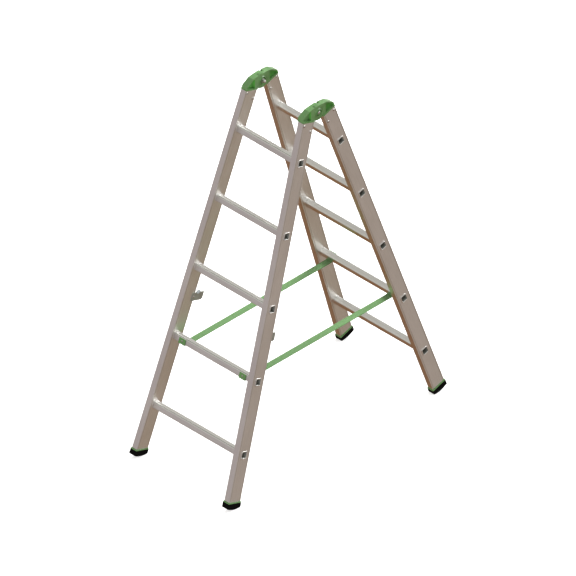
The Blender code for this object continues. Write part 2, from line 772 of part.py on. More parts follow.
def make_lug_rivet(side_name, side):
    """Blind rivet: a head on the plate and a bulge inside the stile wall."""
    down, depth = LUG_RIVET
    back = inner_x(down) + STILE_WALL + GAP
    tail = (
        (back, RIVET_R),
        (back, RIVET_R + 0.9 * MM),
        (back + 1.6 * MM, RIVET_R + 0.4 * MM),
    )
    FRONT.hang(turned_x(
        f"transport_lug_rivet_{side_name}",
        rivet_head(side * lug_face(down), -side) + mirrored(side, tail),
        SMALL_SIDES, ZINC, (FRONT.y(depth), -down), stile_lean(side, down),
    ))


def make_lug_pad(side_name, side):
    """Round domed pad on the plate's inward face, with a pin into the plate."""
    face = lug_face(PAD_DOWN)
    profile = (
        (face - 5.0 * MM, 4.0 * MM),
        (face - 3.8 * MM, 7.0 * MM),
        (face - 1.2 * MM, 8.6 * MM),
        (face, 8.8 * MM),
        (face, PAD_PIN_R),
        (face + LUG_T, PAD_PIN_R),
    )
    FRONT.hang(turned_x(
        f"transport_lug_pad_{side_name}", mirrored(side, profile), 12, PALE_PLASTIC,
        (FRONT.y(HUMP_DEPTH), -PAD_DOWN), stile_lean(side, PAD_DOWN),
    ))


# ------------------------------------------------------------------ assembly
for frame in (FRONT, REAR):
    for i in range(RUNG_COUNT):
        make_rung(frame, i)
    for side_name, side in SIDES:
        make_stile(frame, side_name, side)
        make_hinge_half(frame, side_name, side)
        make_foot_plug(frame, side_name, side)
        make_foot_sole(frame, side_name, side)
        make_strap_half(frame, side_name, side)
        make_clip(frame, side_name, side)
        make_strap_screw(frame, side_name, side)
        for i in range(len(RIVETS)):
            make_hinge_rivet(frame, side_name, side, i)
for side_name, side in SIDES:
    make_hinge_bolt(side_name, side)
    make_lug_plate(side_name, side)
    make_lug_rivet(side_name, side)
    make_lug_pad(side_name, side)

bpy.context.view_layer.update()
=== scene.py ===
"""Looks of a double-sided aluminium step ladder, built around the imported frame.

X runs along the rungs (left is -X), the front frame leans towards -Y and the rear one towards +Y.
Both hang from a level hinge axis along X at height HINGE_Z. A frame is modelled upright with that
axis through its origin: "down" is the distance below the axis along the frame, "depth" the
distance outwards from the axis towards the climbing side (y = out * depth, z = -down).
"""

import bpy
import bmesh
import json
import math
from mathutils import Matrix, Vector


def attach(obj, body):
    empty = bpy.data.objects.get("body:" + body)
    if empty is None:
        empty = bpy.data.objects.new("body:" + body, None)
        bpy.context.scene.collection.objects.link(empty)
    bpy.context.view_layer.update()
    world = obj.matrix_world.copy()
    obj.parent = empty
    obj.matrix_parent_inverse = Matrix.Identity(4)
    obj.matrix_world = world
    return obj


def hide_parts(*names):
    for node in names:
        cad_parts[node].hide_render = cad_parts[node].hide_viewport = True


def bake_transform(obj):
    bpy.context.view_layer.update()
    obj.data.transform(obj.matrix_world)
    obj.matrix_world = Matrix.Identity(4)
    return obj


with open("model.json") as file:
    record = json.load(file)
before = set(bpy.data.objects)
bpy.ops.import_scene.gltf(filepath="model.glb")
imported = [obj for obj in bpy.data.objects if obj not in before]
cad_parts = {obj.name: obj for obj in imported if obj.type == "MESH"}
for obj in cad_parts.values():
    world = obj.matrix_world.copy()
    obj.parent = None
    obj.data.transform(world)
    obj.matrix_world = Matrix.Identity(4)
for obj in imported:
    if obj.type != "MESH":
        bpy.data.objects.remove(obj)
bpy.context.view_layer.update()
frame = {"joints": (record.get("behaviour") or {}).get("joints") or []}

MM = 0.001

# ------------------------------------------------------------ frame geometry
OPENING_HALF = math.radians(18.5)    # tilt of each frame from upright
SIN_HALF, COS_HALF = math.sin(OPENING_HALF), math.cos(OPENING_HALF)
TAPER = 0.0612                       # sideways spread of the stiles per unit down
GAP = 0.3 * MM                       # clearance between neighbouring pieces
DEPTH_MID = 43.3 * MM                # depth of the stile and rung middles

STILE_WIDTH = 25.0 * MM
STILE_DEPTH = 60.0 * MM
STILE_WALL = 1.8 * MM
STILE_RADIUS = 1.3 * MM
STILE_TOP = 35.0 * MM
STILE_END = 1490.5 * MM
STILE_OUTER = 154.1 * MM             # outer face's x at the hinge axis

RUNG_FIRST = 190.5 * MM
RUNG_PITCH = 280.0 * MM
RUNG_COUNT = 5
RUNG_SIZE = 25.0 * MM
RUNG_HALF = RUNG_SIZE / 2
RUNG_WALL = 1.4 * MM

STRAP_X = 152.0 * MM
STRAP_WIDTH = 28.0 * MM
STRAP_THICK = 2.2 * MM
STRAP_DOWN = RUNG_FIRST + 3 * RUNG_PITCH    # straps hang from the fourth rung

HINGE_Z = next(j for j in frame["joints"] if j["name"] == "frame_fold")["pos_m"][2]
SIDES = (("left", -1), ("right", +1))
FRAMES = (("front", -1), ("rear", +1))
AXIS_PLACE = Matrix.Translation((0, 0, HINGE_Z))
PLACE = {label: AXIS_PLACE @ Matrix.Rotation(OPENING_HALF * out, 4, "X") for label, out in FRAMES}


def outer_x(down):
    return STILE_OUTER + TAPER * down


def inner_x(down):
    return outer_x(down) - STILE_WIDTH


def mid_x(down):
    return outer_x(down) - STILE_WIDTH / 2


def stile_lean(side, down=0.0):
    """Sideways shift by local z that follows a stile, zero at the given distance down."""
    return lambda z: side * TAPER * (-z - down)


def level_and_height(depth, down):
    """Level distance from the hinge axis and world height of a point of a tilted frame."""
    level = down * SIN_HALF + depth * COS_HALF
    return level, HINGE_Z - (down * COS_HALF - depth * SIN_HALF)


# ================================================================ materials
SOCKETS = {
    "color": "Base Color", "roughness": "Roughness", "metallic": "Metallic", "normal": "Normal",
    "specular": "Specular IOR Level", "sheen": "Sheen Weight", "coat": "Coat Weight",
}


class Nodes:
    """Small helper for building a node tree."""

    def __init__(self, tree):
        self.tree = tree

    def add(self, kind, **props):
        node = self.tree.nodes.new(kind)
        for key, value in props.items():
            setattr(node, key, value)
        return node

    def feed(self, socket, value):
        """Set a socket to a number or a colour, or link an output to it."""
        if isinstance(value, (int, float)):
            socket.default_value = value
        elif isinstance(value, tuple):
            socket.default_value = (*value, 1.0)
        else:
            self.tree.links.new(value, socket)

    def coord(self, kind):
        return self.add("ShaderNodeTexCoord").outputs[kind]

    def axes(self, vector):
        node = self.add("ShaderNodeSeparateXYZ")
        self.feed(node.inputs[0], vector)
        return node.outputs

    def noise(self, scale, detail, roughness, rotation=(0, 0, 0)):
        """Noise in object space; scale is one number or one per axis."""
        mapping = self.add("ShaderNodeMapping")
        mapping.inputs["Scale"].default_value = scale if isinstance(scale, tuple) else (scale,) * 3
        mapping.inputs["Rotation"].default_value = rotation
        self.feed(mapping.inputs["Vector"], self.coord("Object"))
        node = self.add("ShaderNodeTexNoise")
        node.inputs["Scale"].default_value = 1.0
        node.inputs["Detail"].default_value = detail
        node.inputs["Roughness"].default_value = roughness
        self.feed(node.inputs["Vector"], mapping.outputs["Vector"])
        return node.outputs["Fac"]

    def math(self, operation, *values):
        node = self.add("ShaderNodeMath", operation=operation)
        for socket, value in zip(node.inputs, values):
            self.feed(socket, value)
        return node.outputs[0]

    def plus(self, first, second):
        return self.math("ADD", first, second)

    def minus(self, first, second):
        return self.math("SUBTRACT", first, second)

    def times(self, first, second):
        return self.math("MULTIPLY", first, second)

    def span(self, value, source=(0.3, 0.7), to=(0.0, 1.0), **props):
        """Map one range to another, clamped; the default source is the bulk of a noise."""
        node = self.add("ShaderNodeMapRange", clamp=True, **props)
        node.inputs["From Min"].default_value, node.inputs["From Max"].default_value = source
        node.inputs["To Min"].default_value, node.inputs["To Max"].default_value = to
        self.feed(node.inputs["Value"], value)
        return node.outputs["Result"]

    def mix(self, factor, first, second, blend="MIX"):
        node = self.add("ShaderNodeMix", data_type="RGBA", blend_type=blend)
        for index, value in ((0, factor), (6, first), (7, second)):
            self.feed(node.inputs[index], value)
        return node.outputs[2]

    def grey(self, value):
        node = self.add("ShaderNodeCombineColor")
        for i in range(3):
            self.feed(node.inputs[i], value)
        return node.outputs[0]


class Surface(Nodes):
    """A material with its Principled shader."""

    def __init__(self, name):
        self.material = bpy.data.materials.new(name)
        self.material.use_nodes = True
        super().__init__(self.material.node_tree)
        self.shader = self.tree.nodes["Principled BSDF"]

    def bump(self, height, strength, distance):
        node = self.add("ShaderNodeBump")
        node.inputs["Strength"].default_value = strength
        node.inputs["Distance"].default_value = distance
        self.feed(node.inputs["Height"], height)
        return node.outputs["Normal"]

    def worn_edges(self, color, pale, amount):
        """Blend a paler colour over the convex edges."""
        pointiness = self.add("ShaderNodeNewGeometry").outputs["Pointiness"]
        edges = self.span(pointiness, source=(0.51, 0.60))
        return self.mix(self.times(edges, amount), color, pale)

    def finish(self, **inputs):
        for key, value in inputs.items():
            self.feed(self.shader.inputs[SOCKETS[key]], value)
        return self.material


def tint(color, factor, lift=0.0):
    return tuple(min(1.0, c * factor + lift) for c in color)


def around(middle, below, above):
    return (middle - below, middle + above)


def aluminium(name, base, roughness, along, dirt=0.10, scuffs=0.5):
    """Extruded mill-finish aluminium: draw lines along one axis, faint smudges, scuffs."""
    mat = Surface(name)
    streak = 0.035    # brightness swing of the draw lines

    def drawn(across, lengthwise):
        scale = [across] * 3
        scale[along] = lengthwise
        return tuple(scale)

    lines = mat.noise(drawn(900.0, 2.2), detail=4.0, roughness=0.6)
    bands = mat.noise(drawn(260.0, 1.1), detail=2.0, roughness=0.5)
    smudge = mat.noise((5.0, 7.0, 4.0), detail=5.0, roughness=0.55)
    cloud = mat.noise((1.6, 2.4, 1.3), detail=2.0, roughness=0.5)
    grit = mat.noise(160.0, detail=6.0, roughness=0.75)
    # short scuffs across the draw direction, only here and there
    scratch = mat.noise(drawn(70.0, 420.0), detail=2.0, roughness=0.4, rotation=(0.25, 0.3, 0.15))
    scuff = mat.span(scratch, source=(0.70, 0.76))
    where = mat.span(cloud, source=(0.52, 0.66))
    scuff = mat.times(scuff, mat.times(where, scuffs))

    # brightness: lines, broad bands and smudges about 1
    tone = mat.plus(
        mat.span(lines, source=(0.25, 0.75), to=(-streak, streak)),
        mat.span(bands, to=(-streak * 0.8, streak * 0.8)),
    )
    tone = mat.plus(tone, mat.span(smudge, source=(0.3, 0.72), to=(-dirt * 0.6, dirt * 0.4)))
    color = mat.mix(1.0, base, mat.grey(mat.plus(tone, 1.0)), "MULTIPLY")
    color = mat.mix(mat.times(scuff, 0.35), color, (0.95, 0.95, 0.94))
    # smudges and scuffs are duller
    dull = mat.span(smudge, to=around(roughness, 0.04, 0.06))
    dull = mat.plus(dull, mat.span(lines, to=(-0.03, 0.03)))
    dull = mat.plus(dull, mat.times(scuff, 0.12))
    # relief: lines over grit, scuffs sunk in
    height = mat.plus(mat.times(lines, 0.6), mat.times(grit, 0.25))
    height = mat.minus(height, mat.times(scuff, 0.5))
    normal = mat.bump(height, strength=0.10, distance=0.00025)
    return mat.finish(color=color, roughness=dull, metallic=1.0, normal=normal)


def green_plastic(name, base, roughness=0.38, grain=0.16, specular=0.5):
    """Injection-moulded plastic: fine spark grain, slight tone drift, paler worn edges."""
    mat = Surface(name)
    drift = mat.noise(18.0, detail=3.0, roughness=0.5)
    spark = mat.noise(1500.0, detail=2.0, roughness=0.6)
    flow = mat.noise((60.0, 22.0, 60.0), detail=3.0, roughness=0.6)
    color = mat.mix(mat.span(drift), tint(base, 0.86), tint(base, 1.10, lift=0.006))
    color = mat.worn_edges(color, pale=tint(base, 1.5, lift=0.05), amount=0.38)
    dull = mat.plus(
        mat.span(flow, to=around(roughness, 0.05, 0.06)),
        mat.span(spark, source=(0.2, 0.8), to=(-0.03, 0.05)),
    )
    mat.shader.inputs["Coat Roughness"].default_value = 0.18
    return mat.finish(
        color=color, roughness=dull, metallic=0.0, specular=specular, coat=0.9 * specular,
        normal=mat.bump(spark, strength=grain, distance=0.00012),
    )


def webbing(name, base):
    """Plain-woven webbing: ribs across the band, yarns along it, darker selvedges."""
    mat = Surface(name)
    yarn_pitch, rib_pitch = 0.0016, 0.0022
    axes = mat.axes(mat.coord("Object"))
    x, y = axes["X"], axes["Y"]
    yarns = mat.math("SINE", mat.times(x, 2 * math.pi / yarn_pitch))
    ribs = mat.math("SINE", mat.times(y, 2 * math.pi / rib_pitch))
    crossing = mat.times(yarns, ribs)
    crests = mat.plus(
        mat.times(mat.math("ABSOLUTE", yarns), 0.5),
        mat.times(mat.math("ABSOLUTE", ribs), 0.5),
    )
    weave = mat.plus(mat.times(crossing, 0.5), crests)
    fuzz = mat.noise(2200.0, detail=3.0, roughness=0.7)
    drift = mat.noise((14.0, 9.0, 14.0), detail=3.0, roughness=0.5)
    color = mat.mix(
        mat.span(weave, source=(-0.1, 1.1)), tint(base, 0.74), tint(base, 1.12, lift=0.01)
    )
    faded = mat.span(drift, source=(0.35, 0.7), to=(0.0, 0.22))
    color = mat.mix(faded, color, tint(base, 1.25, lift=0.02))
    from_middle = mat.math("ABSOLUTE", mat.minus(mat.math("ABSOLUTE", x), STRAP_X))
    selvedge = mat.span(
        from_middle, source=(STRAP_WIDTH / 2 - 0.0022, STRAP_WIDTH / 2 - 0.0012), to=(0.0, 0.35)
    )
    color = mat.mix(selvedge, color, tint(base, 0.6))
    height = mat.plus(weave, mat.times(fuzz, 0.35))
    return mat.finish(
        color=color, roughness=0.82, metallic=0.0, specular=0.25, sheen=0.25,
        normal=mat.bump(height, strength=0.7, distance=0.00035),
    )


def rubber(name):
    """Black rubber with a little dust and slightly paler edges."""
    mat = Surface(name)
    dust = mat.noise(45.0, detail=6.0, roughness=0.65)
    grain = mat.noise(900.0, detail=3.0, roughness=0.7)
    black, dusty = (0.0012, 0.0012, 0.0012), (0.0075, 0.007, 0.0065)
    color = mat.mix(mat.span(dust, source=(0.5, 0.8), to=(0.0, 0.35)), black, dusty)
    color = mat.worn_edges(color, pale=(0.022, 0.021, 0.020), amount=0.2)
    return mat.finish(
        color=color, roughness=mat.span(dust, to=(0.62, 0.82)), metallic=0.0, specular=0.05,
        normal=mat.bump(grain, strength=0.35, distance=0.0002),
    )


def bright_metal(name, base, roughness):
    mat = Surface(name)
    haze = mat.noise(220.0, detail=4.0, roughness=0.6)
    spots = mat.noise(1100.0, detail=3.0, roughness=0.6)
    return mat.finish(
        color=mat.mix(mat.span(haze), tint(base, 0.90), base),
        roughness=mat.span(haze, to=around(roughness, 0.05, 0.08)), metallic=1.0,
        normal=mat.bump(spots, strength=0.08, distance=0.0001),
    )


def dull_plate(name, base):
    mat = Surface(name)
    haze = mat.noise(60.0, detail=5.0, roughness=0.6)
    grain = mat.noise(1300.0, detail=2.0, roughness=0.6)
    color = mat.mix(mat.span(haze), tint(base, 0.88), tint(base, 1.08))
    return mat.finish(
        color=mat.worn_edges(color, pale=tint(base, 1.6), amount=0.4),
        roughness=mat.span(haze, to=(0.44, 0.58)), metallic=0.55,
        normal=mat.bump(grain, strength=0.12, distance=0.0001),
    )


def pale_plastic(name, base):
    mat = Surface(name)
    haze = mat.noise(90.0, detail=3.0, roughness=0.5)
    grain = mat.noise(1500.0, detail=2.0, roughness=0.6)
    return mat.finish(
        color=mat.mix(mat.span(haze), tint(base, 0.93), base),
        roughness=mat.span(haze, to=(0.34, 0.46)), metallic=0.0,
        normal=mat.bump(grain, strength=0.10, distance=0.0001),
    )


STILE_METAL = aluminium(
    "aluminium_stile_finish", base=(0.90, 0.885, 0.865), roughness=0.38, along=2)
RUNG_METAL = aluminium(
    "aluminium_rung_finish", base=(0.92, 0.92, 0.905), roughness=0.34, along=0,
    dirt=0.07, scuffs=0.8)
# painted shade: a darker, duller aluminium on the groove floors stands in for the shade in the
# grooves
GROOVE_SHADE_METAL = aluminium(
    "aluminium_groove_painted_shade", base=(0.75, 0.735, 0.69), roughness=0.46, along=2, dirt=0.16)
# painted shade: a dark grey inside the rung bores stands in for the shade in the hollow tube
BORE_SHADE_METAL = dull_plate("rung_bore_painted_shade", base=(0.34, 0.35, 0.325))
GREEN = green_plastic("green_plastic_finish", base=(0.106, 0.248, 0.076))
# painted light: a brighter, more saturated green for the pocket faces stands in for the light
# bouncing round inside the hinge pockets
POCKET_PAINTED_BOUNCE = green_plastic(
    "green_pocket_painted_bounce_light", base=(0.085, 0.320, 0.050), roughness=0.55, grain=0.3, specular=0.3)
WEBBING = webbing("green_webbing_finish", base=(0.140, 0.302, 0.104))
THREAD = webbing("green_thread_finish", base=(0.25, 0.43, 0.20))
RUBBER = rubber("black_rubber_finish")
ZINC = bright_metal("zinc_finish", base=(0.74, 0.73, 0.71), roughness=0.24)
LUG_METAL = dull_plate("lug_plate_finish", base=(0.36, 0.375, 0.33))
PALE = pale_plastic("pale_plastic_finish", base=(0.56, 0.63, 0.66))


# =============================================================== mesh makers
def mesh_object(name, bm, material, sharp=32.0):
    bmesh.ops.remove_doubles(bm, verts=bm.verts, dist=1e-7)
    bmesh.ops.recalc_face_normals(bm, faces=bm.faces)
    mesh = bpy.data.meshes.new(name)
    bm.to_mesh(mesh)
    bm.free()
    mesh.materials.append(material)
    mesh.shade_smooth()
    mesh.set_sharp_from_angle(angle=math.radians(sharp))
    ob = bpy.data.objects.new(name, mesh)
    bpy.context.scene.collection.objects.link(ob)
    return ob


def loft(name, rings, material, cyclic=False, sharp=32.0):
    """Body through a row of rings, capped at both ends or closed on itself."""
    bm = bmesh.new()
    rows = [[bm.verts.new(point) for point in ring] for ring in rings]
    count = len(rows[0])
    pairs = list(zip(rows, rows[1:]))
    if cyclic:
        pairs.append((rows[-1], rows[0]))
    for near, far in pairs:
        for i in range(count):
            j = (i + 1) % count
            bm.faces.new((near[i], near[j], far[j], far[i]))
    if not cyclic:
        bm.faces.new(list(reversed(rows[0])))
        bm.faces.new(rows[-1])
    return mesh_object(name, bm, material, sharp)


def prism(name, outline, x0, x1, material, lean=lambda z: 0.0):
    """Outline of (y, z) points drawn out along x."""
    return loft(name, [[(x + lean(z), y, z) for y, z in outline] for x in (x0, x1)], material)


def circle(radius, count, centre):
    angles = [2 * math.pi * i / count for i in range(count)]
    return [(centre[0] + radius * math.cos(a), centre[1] + radius * math.sin(a)) for a in angles]


def turned_x(name, profile, count, material, side=1, centre=(0.0, 0.0), lean=lambda z: 0.0,
             cyclic=False):
    """Body turned about x from (x, radius) pairs; side -1 mirrors it to the left."""
    rings = [
        [(side * x + lean(z), y, z) for y, z in circle(radius, count, centre)]
        for x, radius in profile
    ]
    return loft(name, rings, material, cyclic=cyclic)


def turned_y(name, profile, count, material, centre):
    """Body turned about y from (y, radius) pairs."""
    rings = [[(x, y, z) for x, z in circle(radius, count, centre)] for y, radius in profile]
    return loft(name, rings, material)


def quarter_arc(centre, reach, steps, first=0):
    """Quarter of an ellipse, from the first coordinate's end to the second's."""
    angles = [math.pi / 2 * k / steps for k in range(first, steps + 1)]
    return [
        (centre[0] + reach[0] * math.cos(a), centre[1] + reach[1] * math.sin(a)) for a in angles
    ]


def rounded_rect(half_wide, half_high, radii, steps):
    """Rectangle about the origin; corners run from +,+ through -,+ and -,- to +,-."""
    points = []
    corners = ((1, 1, 0), (-1, 1, 90), (-1, -1, 180), (1, -1, 270))
    for (sign_a, sign_b, start), radius, count in zip(corners, radii, steps):
        centre_a = sign_a * (half_wide - radius)
        centre_b = sign_b * (half_high - radius)
        for i in range(count + 1):
            turn = math.radians(start + 90.0 * i / count)
            points.append((centre_a + radius * math.cos(turn), centre_b + radius * math.sin(turn)))
    return points


def eased(points, radius, steps=4, skip=()):
    """Round the corners of a polygon; skip lists the corners left sharp."""
    count = len(points)
    rounded = []
    for i in range(count):
        corner = Vector(points[i])
        before, after = Vector(points[i - 1]) - corner, Vector(points[(i + 1) % count]) - corner
        long_enough = before.length > 1e-9 and after.length > 1e-9
        turn = before.angle(after) if long_enough else math.pi
        half_tan = math.tan(turn / 2)
        fit = min(radius, before.length * 0.45 * half_tan, after.length * 0.45 * half_tan)
        if i in skip or turn > math.radians(176) or fit < 0.05 * MM:
            rounded.append(tuple(corner))
            continue
        before.normalize()
        after.normalize()
        setback = fit / half_tan
        centre = corner + (before + after).normalized() * (fit / math.sin(turn / 2))
        arm = corner + before * setback - centre
        sweep = arm.angle_signed(corner + after * setback - centre)
        for k in range(steps + 1):
            angle = -sweep * k / steps
            c, s = math.cos(angle), math.sin(angle)
            rounded.append((centre.x + arm.x * c - arm.y * s, centre.y + arm.x * s + arm.y * c))
    return rounded


def apply_modifiers(ob):
    bpy.context.view_layer.update()
    depsgraph = bpy.context.evaluated_depsgraph_get()
    result = bpy.data.meshes.new_from_object(ob.evaluated_get(depsgraph))
    ob.modifiers.clear()
    old = ob.data
    ob.data = result
    bpy.data.meshes.remove(old)


def boolean(target, tool, operation="DIFFERENCE"):
    modifier = target.modifiers.new("cut", "BOOLEAN")
    modifier.operation = operation
    modifier.solver = "EXACT"
    modifier.object = tool
    apply_modifiers(target)
    bpy.data.objects.remove(tool, do_unlink=True)


def finish_shape(ob, material, bevel=0.0, segments=2, angle=35.0, sharp=32.0):
    """Final material, eased edges, and flat faces that shade flat."""
    ob.data.materials.clear()
    ob.data.materials.append(material)
    for face in ob.data.polygons:
        face.material_index = 0
    ob.data.shade_smooth()
    if bevel > 0:
        modifier = ob.modifiers.new("bevel", "BEVEL")
        modifier.width = bevel
        modifier.segments = segments
        modifier.limit_method = "ANGLE"
        modifier.angle_limit = math.radians(angle)
        modifier.use_clamp_overlap = True
        modifier.loop_slide = True
        modifier.miter_outer = "MITER_ARC"
        apply_modifiers(ob)
        ob.data.shade_smooth()
    ob.data.set_sharp_from_angle(angle=math.radians(sharp))
    normals = ob.modifiers.new("normals", "WEIGHTED_NORMAL")
    normals.mode = "FACE_AREA"
    normals.weight = 60
    normals.keep_sharp = True


def paint(ob, material, chosen):
    """Give a second material to the faces that pass a test."""
    ob.data.materials.append(material)
    for face in ob.data.polygons:
        if chosen(face):
            face.material_index = 1


def mount(ob, label, node=None, place=None):
    """Put a piece in place on a frame, standing in for a CAD node if one is given."""
    ob.matrix_world = PLACE[label] if place is None else place
    if node:
        ob.name = node + "_look"
    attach(ob, f"{label}_frame")
    if node:
        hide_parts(node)


def stile_outline(grow, radius, steps):
    """The stile's outer outline, grown all round."""
    half_wide, half_deep = STILE_WIDTH / 2 + grow, STILE_DEPTH / 2 + grow
    return rounded_rect(half_wide, half_deep, [radius] * 4, [steps] * 4)


def across_stile(outline, out, side, down):
    """An outline about the stile's middle, laid level at a distance down."""
    return [(side * mid_x(down) + a, out * DEPTH_MID + b, -down) for a, b in outline]


# ===================================================================== rungs
TREAD_RADIUS = 6.0 * MM              # climbing-side top corner
RUNG_RADIUS = 2.4 * MM               # other three corners
RADIUS_MIN = 0.8 * MM
RUNG_STEPS = (8, 4, 4, 4)
RIB_PITCH = 2.6 * MM
RIB_DEPTH = 0.55 * MM
# groove between ribs: distance along the face, depth
RIB_GROOVE = ((0.0, 0.0), (0.35 * MM, RIB_DEPTH), (1.05 * MM, RIB_DEPTH), (1.4 * MM, 0.0))
SLOT_CLEAR = 0.15 * MM               # rung hole in the stile over the rung
COLLAR_OVER = 2.8 * MM
COLLAR_THICK = 1.7 * MM
COLLAR_ROUND = 1.3 * MM
BEAD_HEIGHT = 1.35 * MM
BEAD_HALF = 0.9 * MM                 # half the bead's width
SWAGE_LIP = 0.1 * MM
SWAGE_LENGTH = 2.0 * MM
SLEEVE_DEPTH = 46.0 * MM


def rung_section(out, down, grow=0.0, ribs=False):
    """Rung outline in (y, z): square with a large radius on the climbing-side top edge."""
    half = RUNG_HALF + grow
    tread = max(TREAD_RADIUS + grow, RADIUS_MIN)
    plain = max(RUNG_RADIUS + grow, RADIUS_MIN)
    points = rounded_rect(half, half, [tread] + [plain] * 3, RUNG_STEPS)
    if ribs:
        # grooves cut into the top and the climbing face
        top, face = [], []
        start = half - tread - 0.7 * MM
        while start - RIB_PITCH > -half + plain + 0.4 * MM:
            top += [(start - run, half - depth) for run, depth in RIB_GROOVE]
            start -= RIB_PITCH
        start = -half + plain + 2.0 * MM
        while start + RIB_PITCH < half - tread - 0.2 * MM:
            face += [(half - depth, start + run) for run, depth in RIB_GROOVE]
            start += RIB_PITCH
        corner = RUNG_STEPS[0] + 1
        points = points[:corner] + top + points[corner:] + face
    points = [(DEPTH_MID + a, b) for a, b in points]
    if out < 0:
        points = [(-a, b) for a, b in reversed(points)]
    return [(a, -down + b) for a, b in points]


def make_rung_end(node, out, side, down):
    """Sleeve through the stile: bead inside it, rounded collar outside, funnel into the bore."""

    def ring(face_x, grow, offset):
        section = rung_section(out, down, grow)
        return [(side * (face_x(-z) + offset), y, z) for y, z in section]

    collar_face = GAP + COLLAR_THICK
    rings = [ring(inner_x, 0.0, -0.4 * MM)]
    for step in range(7):
        angle = math.pi * step / 6
        offset = -GAP - BEAD_HALF * (1 - math.cos(angle))
        rings.append(ring(inner_x, BEAD_HEIGHT * math.sin(angle), offset))
    rings.append(ring(outer_x, 0.0, 0.0))
    rings.append(ring(outer_x, COLLAR_OVER - 0.5 * MM, 0.05 * MM))
    over = quarter_arc(
        (COLLAR_OVER - COLLAR_ROUND, 0.5 * MM), (COLLAR_ROUND, COLLAR_THICK - 0.2 * MM), 6
    )
    rings += [ring(outer_x, grow, offset) for grow, offset in over]
    rings.append(ring(outer_x, -SWAGE_LIP, collar_face))
    funnel = quarter_arc(
        (collar_face - SWAGE_LENGTH, -SWAGE_LIP),
        (SWAGE_LENGTH, -(RUNG_WALL - SWAGE_LIP) * 0.98), 5, first=1,
    )
    rings += [ring(outer_x, grow, offset) for offset, grow in funnel]
    rings.append(ring(outer_x, -RUNG_WALL, -SLEEVE_DEPTH))
    return loft(node + "_end", rings, RUNG_METAL)


def open_sleeve(end):
    """Replace the two end caps by a wall between them."""
    bm = bmesh.new()
    bm.from_mesh(end.data)
    caps = [face for face in bm.faces if len(face.verts) > 4]
    bmesh.ops.delete(bm, geom=caps, context="FACES_ONLY")
    bmesh.ops.bridge_loops(bm, edges=[edge for edge in bm.edges if edge.is_boundary])
    bmesh.ops.recalc_face_normals(bm, faces=bm.faces)
    bm.to_mesh(end.data)
    bm.free()


def make_rung(label, out, index):
    down = RUNG_FIRST + index * RUNG_PITCH
    node = f"{label}_rung_{index + 1}"
    ribbed = rung_section(out, down, ribs=True)
    tube = loft(
        node, [[(side * (inner_x(-z) + 1.0 * MM), y, z) for y, z in ribbed] for side in (-1, 1)],
        RUNG_METAL,
    )
    ends = [make_rung_end(node, out, side, down) for _, side in SIDES]
    reach_x = outer_x(down) + 20 * MM
    bore = rung_section(out, down, grow=-RUNG_WALL)
    boolean(tube, prism("tool", bore, -reach_x, reach_x, RUNG_METAL))
    for end in ends:
        open_sleeve(end)

    reach = RUNG_HALF - RUNG_WALL + 0.15 * MM

    def in_bore(face):
        y, z = face.center.y - out * DEPTH_MID, face.center.z + down
        return abs(y) < reach and abs(z) < reach

    for piece in [tube] + ends:
        finish_shape(piece, RUNG_METAL, sharp=40.0)
        # painted shade: faces inside the bore take the dark bore grey
        paint(piece, BORE_SHADE_METAL, in_bore)
    mount(tube, label, node)
    for end, (side_name, _) in zip(ends, SIDES):
        end.name = f"{node}_collar_{side_name}"
        mount(end, label)


# ==================================================================== stiles
# shallow groove along each edge of the two wide faces, from the face's middle
GROOVE_FROM = 22.6 * MM
GROOVE_TO = 28.0 * MM
GROOVE_FLANK = 0.4 * MM
GROOVE_DEPTH = 0.6 * MM
STILE_EDGE = 0.35 * MM               # eased end edges
STILE_RADIUS_MIN = 0.9 * MM
STILE_STEPS = 5


def make_stile(label, out, side_name, side):
    node = f"{label}_stile_{side_name}"

    def ring(down, inset, grooved=True):
        radius = max(STILE_RADIUS - inset, STILE_RADIUS_MIN)
        points = stile_outline(-inset, radius, STILE_STEPS)
        face = STILE_WIDTH / 2 - inset
        depth = GROOVE_DEPTH if grooved else 0.0
        far = min(GROOVE_TO, STILE_DEPTH / 2 - inset - radius - 0.1 * MM)
        groove = [
            (-far, 0), (-far + GROOVE_FLANK, depth),
            (-GROOVE_FROM - GROOVE_FLANK, depth), (-GROOVE_FROM, 0),
        ]
        wide = [(face - sunk, b) for b, sunk in groove]
        wide += [(face - sunk, -b) for b, sunk in reversed(groove)]
        half = 2 * (STILE_STEPS + 1)
        points = points[:half] + [(-a, -b) for a, b in wide] + points[half:] + wide
        return across_stile(points, out, side, down)

    stile = loft(
        node,
        [
            ring(STILE_TOP, STILE_EDGE), ring(STILE_TOP + STILE_EDGE, 0),
            ring(STILE_END - STILE_EDGE, 0), ring(STILE_END, STILE_EDGE),
            ring(STILE_END, STILE_WALL, grooved=False), ring(STILE_TOP, STILE_WALL, grooved=False),
        ],
        STILE_METAL, cyclic=True,
    )
    for i in range(RUNG_COUNT):
        down = RUNG_FIRST + i * RUNG_PITCH
        x = side * mid_x(down)
        hole = rung_section(out, down, grow=SLOT_CLEAR)
        boolean(stile, prism("tool", hole, x - 30 * MM, x + 30 * MM, STILE_METAL))
    finish_shape(stile, STILE_METAL, sharp=40.0)

    def on_groove_floor(face):
        from_middle = abs(face.center.x - side * mid_x(-face.center.z))
        along = abs(face.center.y - out * DEPTH_MID)
        low = STILE_WIDTH / 2 - GROOVE_DEPTH - 0.1 * MM
        high = STILE_WIDTH / 2 - 0.1 * MM
        return GROOVE_FROM < along < GROOVE_TO and low < from_middle < high

    # painted shade: the groove floors take the darker groove aluminium
    paint(stile, GROOVE_SHADE_METAL, on_groove_floor)
    mount(stile, label, node)


# ==================================================================== hinges
def to_local(level, height):
    """From (level, height) about the hinge axis to the rear frame's own (y, z)."""
    return (level * COS_HALF + height * SIN_HALF, -level * SIN_HALF + height * COS_HALF)


